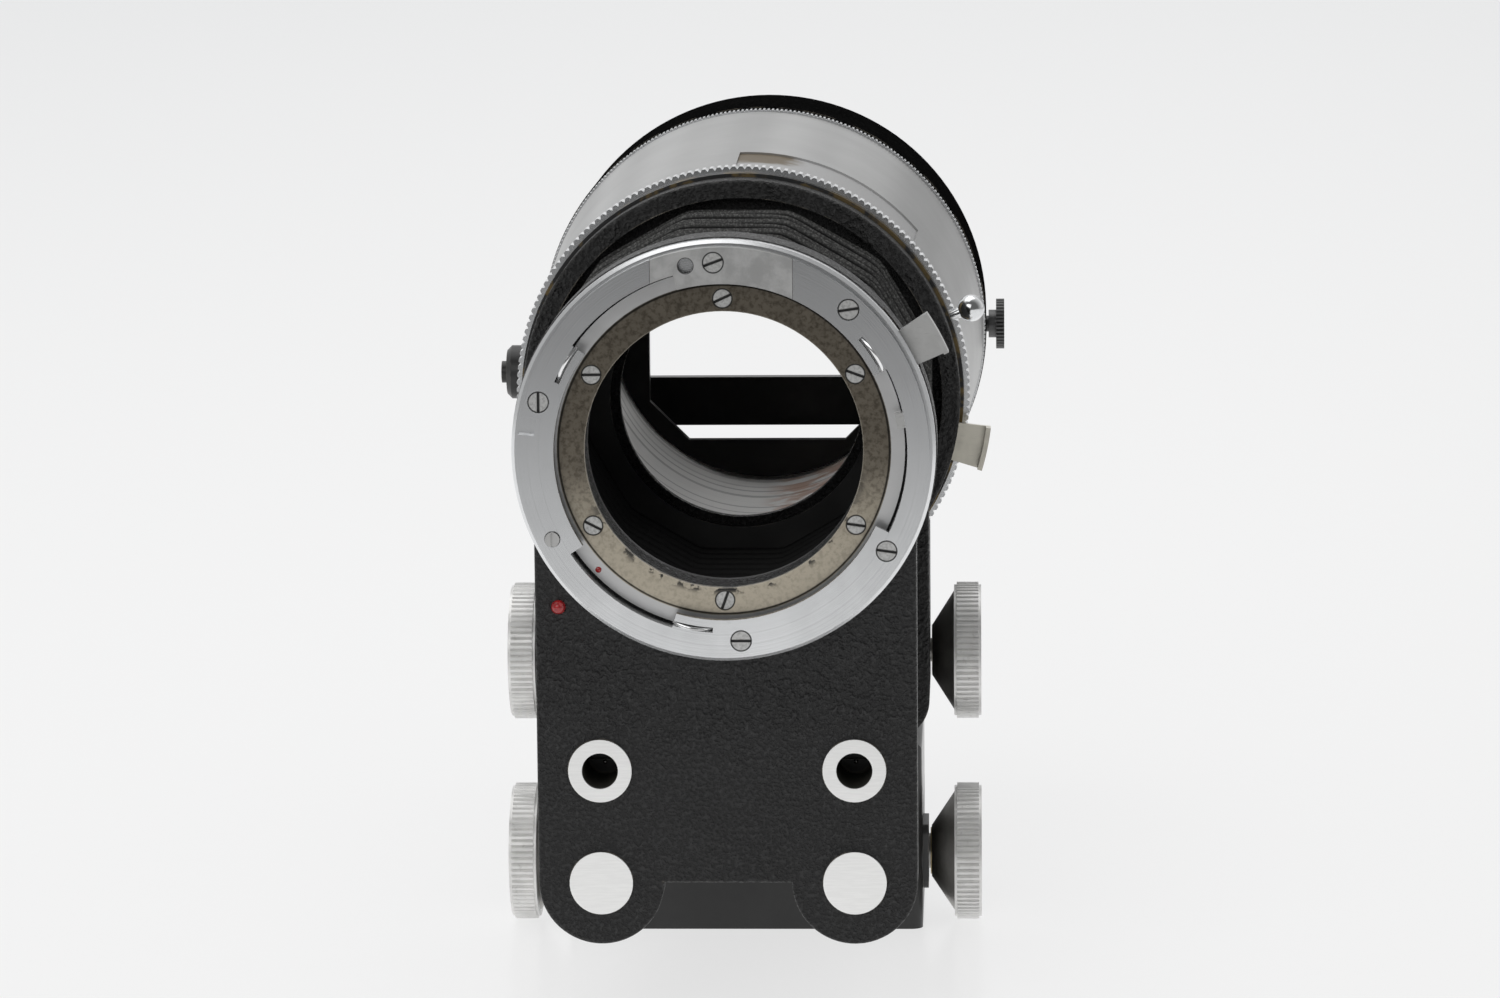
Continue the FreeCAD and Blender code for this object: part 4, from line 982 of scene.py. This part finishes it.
class SmallParts(bpy.types.Operator):
    """Finishes the screws, knobs, rods, tubes, pinions, bushes and the red bead"""

    bl_idname = "bellows_unit.small_parts"
    bl_label = "Screws, knobs and rails"

    def execute(self, context):
        colours = unit().colours
        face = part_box("bayonet_screws")[0][1]
        paint_nodes(screw_steel("ring_screw_steel", colours.screws, face), "bayonet_screws")
        paint_nodes(screw_steel("throat_screw_steel", colours.screws, THROAT_FRONT, True), "throat_screws")
        paint_nodes(polished_metal("plain_steel", colours.screws, 0.3), "tie_plate_screws",
                    "rail_knob_screws", "rear_knob_screws", "bayonet_stop", "lens_lock_pin")
        paint_nodes(bare_aluminium("rod_aluminium", colours.aluminium, 0.94),
                    "rail_rod_left", "rail_rod_right", "guide_tube_left", "guide_tube_right")
        for name, low_pair in (("rail_knob_metal", True), ("rear_knob_metal", False)):
            metal = knob_metal(name, colours.knobs, colours.cones, colours.brass, low_pair)
            stem = name.replace("_metal", "")
            paint_nodes(metal, stem + "_left", stem + "_right")
        paint_nodes(polished_metal("pinion_steel", colours.steel, 0.26), "rail_pinion", "rear_pinion")
        paint_nodes(bronze_bush("bush_bronze", colours.bronze), "rail_bush_left", "rail_bush_right",
                    "rear_bush_left", "rear_bush_right", "tripod_bush")
        paint_nodes(red_enamel("bead_enamel", colours.red), "index_bead")
        return {"FINISHED"}


def sweep_mesh():
    """A board that lies flat, then curves up: a straight run, a quarter circle and a wall, all along X."""
    turn = np.linspace(0, math.pi / 2, 24)
    start, radius, top, reach = 3.4, 0.6, 3.2, 4.0
    y = np.concatenate([[-reach], start + radius * np.sin(turn), [start + radius]])
    z = np.concatenate([[0.0], radius * (1 - np.cos(turn)), [top]])
    x = np.linspace(-reach, reach, 3)
    points = np.stack(np.broadcast_arrays(x[None, :], y[:, None], z[:, None]), 2)
    return grid_mesh("sweep", points, False, False, flip=True)


def sweep_board(name, colour):
    """White board. Seen straight or in a reflection it adds a pale glow, greyer far off and at the sides."""
    paint = Paint(name)
    x, y, z = paint.parts()
    fibre = paint.noise(0.02, 2.0)
    shade = paint.mix(fibre, rgba(colour), shaded(colour, 0.985))
    paint.set(Base_Color=shade, Roughness=0.22, Specular_IOR_Level=0.35)
    far = (y + z).rise(-0.79, 3.9)
    side = abs(x).rise(0.05, 0.8)
    # Painted reflection: in reflections only, the board shows dark near the front and greyer to the right.
    near = y.rise(-0.40, -0.90)
    right = x.rise(0.25, 1.3)
    glow = paint.mix(far, grey(1.0), (0.90, 0.905, 0.91, 1.0))
    glow = paint.mix(side * 0.2, glow, (0.80, 0.81, 0.82, 1.0))
    mirrored = paint.mix(near, glow, grey(0.05))
    mirrored = paint.mix(right * 0.7, mirrored, grey(0.30))
    path = paint.tree.nodes.new("ShaderNodeLightPath")
    kinds = ("Is Camera Ray", "Is Glossy Ray", "Is Transmission Ray")
    straight, glossy, through = [Wire(paint, path.outputs[kind]) for kind in kinds]
    seen = straight.larger(glossy).larger(through)
    shown = paint.mix(glossy, glow, mirrored)
    light = paint.node("ShaderNodeEmission", {"Color": shown, "Strength": 1.0})
    share = seen * 0.70 + glossy * 0.26
    both = paint.node("ShaderNodeMixShader", {0: share, 1: Wire(paint, paint.shader.outputs[0]), 2: light})
    paint.feed(paint.end.inputs[0], both)
    return paint.material


def soft_light(name, place, size, power):
    """An oblong lamp that faces the middle of the unit."""
    lamp = bpy.data.lights.new(name, "AREA")
    lamp.shape = "RECTANGLE"
    lamp.size, lamp.size_y = size
    lamp.energy = power
    holder = bpy.data.objects.new(name, lamp)
    holder.location = place
    holder.rotation_euler = (Vector((0.0, 0.0, AXIS_Z)) - Vector(place)).to_track_quat("-Z", "Y").to_euler()
    bpy.context.scene.collection.objects.link(holder)


def set_camera(stage):
    """Points the camera along its yaw and dip, then rolls it about the view."""
    ahead = Vector((
        -math.sin(stage.yaw) * math.cos(stage.pitch),
        math.cos(stage.yaw) * math.cos(stage.pitch),
        -math.sin(stage.pitch),
    ))
    aside = ahead.cross(Vector((0, 0, 1))).normalized()
    upright = aside.cross(ahead)
    right = aside * math.cos(stage.roll) - upright * math.sin(stage.roll)
    up = upright * math.cos(stage.roll) + aside * math.sin(stage.roll)
    data = bpy.data.cameras.new("camera")
    data.lens = stage.lens
    data.sensor_width = 36.0
    data.clip_start = 0.01
    camera = bpy.data.objects.new("camera", data)
    turned = Matrix((right, up, -ahead)).transposed().to_4x4()
    camera.matrix_world = Matrix.Translation(stage.camera_place) @ turned
    bpy.context.scene.collection.objects.link(camera)
    bpy.context.scene.camera = camera


def set_room(stage):
    """An even pale room. Polished metal sees its front half dim and its back half white."""
    world = bpy.data.worlds.new("room")
    world.use_nodes = True
    bpy.context.scene.world = world
    tree = world.node_tree
    background = tree.nodes["Background"]
    kinds = ("TexCoord", "SeparateXYZ", "MapRange", "LightPath", "Mix", "Mix")
    ways, split, ramp, path, level_mix, seen_mix = [tree.nodes.new("ShaderNode" + kind) for kind in kinds]
    tree.links.new(ways.outputs["Generated"], split.inputs[0])
    tree.links.new(split.outputs["Y"], ramp.inputs["Value"])
    for key, value in (("From Min", -0.5), ("From Max", 0.5),
                       ("To Min", stage.world_front), ("To Max", stage.world_back)):
        ramp.inputs[key].default_value = value
    tree.links.new(path.outputs["Is Glossy Ray"], level_mix.inputs[0])
    level_mix.inputs[2].default_value = stage.world_level
    tree.links.new(ramp.outputs[0], level_mix.inputs[3])
    background.inputs["Color"].default_value = grey(1.0)
    tree.links.new(path.outputs["Is Camera Ray"], seen_mix.inputs[0])
    tree.links.new(level_mix.outputs[0], seen_mix.inputs[2])
    seen_mix.inputs[3].default_value = stage.world_seen
    tree.links.new(seen_mix.outputs[0], background.inputs["Strength"])


class SetStage(bpy.types.Operator):
    """Sets out the white board, the soft lights, the room and the camera"""

    bl_idname = "bellows_unit.set_stage"
    bl_label = "Floor, lights and camera"

    def execute(self, context):
        stage = unit().stage
        sweep = add_piece("sweep", sweep_mesh(), sweep_board("sweep_board", stage.floor))
        soft_light("top_light", TOP_LIGHT_PLACE, TOP_LIGHT_SIZE, stage.key_power)
        soft_light("front_light", FRONT_LIGHT_PLACE, FRONT_LIGHT_SIZE, stage.fill_power)
        set_room(stage)
        set_camera(stage)
        context.scene.view_settings.view_transform = "Standard"
        return {"FINISHED"}


PIECES = (
    FoldBellows, AddMarks, AddKnobCones, AddSprings,
    BlackFinishes, ChromeFinishes, SmallParts, SetStage,
)


class BellowsPanel(bpy.types.Panel):
    """Lists the steps and sizes of the macro bellows unit"""

    bl_idname = "BELLOWS_PT_unit"
    bl_label = "Macro bellows"
    bl_space_type = "VIEW_3D"
    bl_region_type = "UI"
    bl_category = "Macro bellows"

    def draw(self, context):
        for piece in PIECES:
            self.layout.operator(piece.bl_idname)
        for group in (unit().bellows, unit().marks, unit().colours, unit().stage):
            box = self.layout.box()
            for key in group.__annotations__:
                box.prop(group, key)


CLASSES = (BellowsSizes, MarkSizes, Colours, StageSizes, BellowsUnit, *PIECES, BellowsPanel)


def register():
    for entry in CLASSES:
        bpy.utils.register_class(entry)
    bpy.types.Scene.bellows_unit = bpy.props.PointerProperty(type=BellowsUnit)


def unregister():
    del bpy.types.Scene.bellows_unit
    for entry in reversed(CLASSES):
        bpy.utils.unregister_class(entry)


def main():
    register()
    steps = bpy.ops.bellows_unit
    steps.fold_bellows()
    steps.add_marks()
    steps.add_knob_cones()
    steps.add_springs()
    steps.black_finishes()
    steps.chrome_finishes()
    steps.small_parts()
    steps.set_stage()


if __name__ == "__main__":
    main()
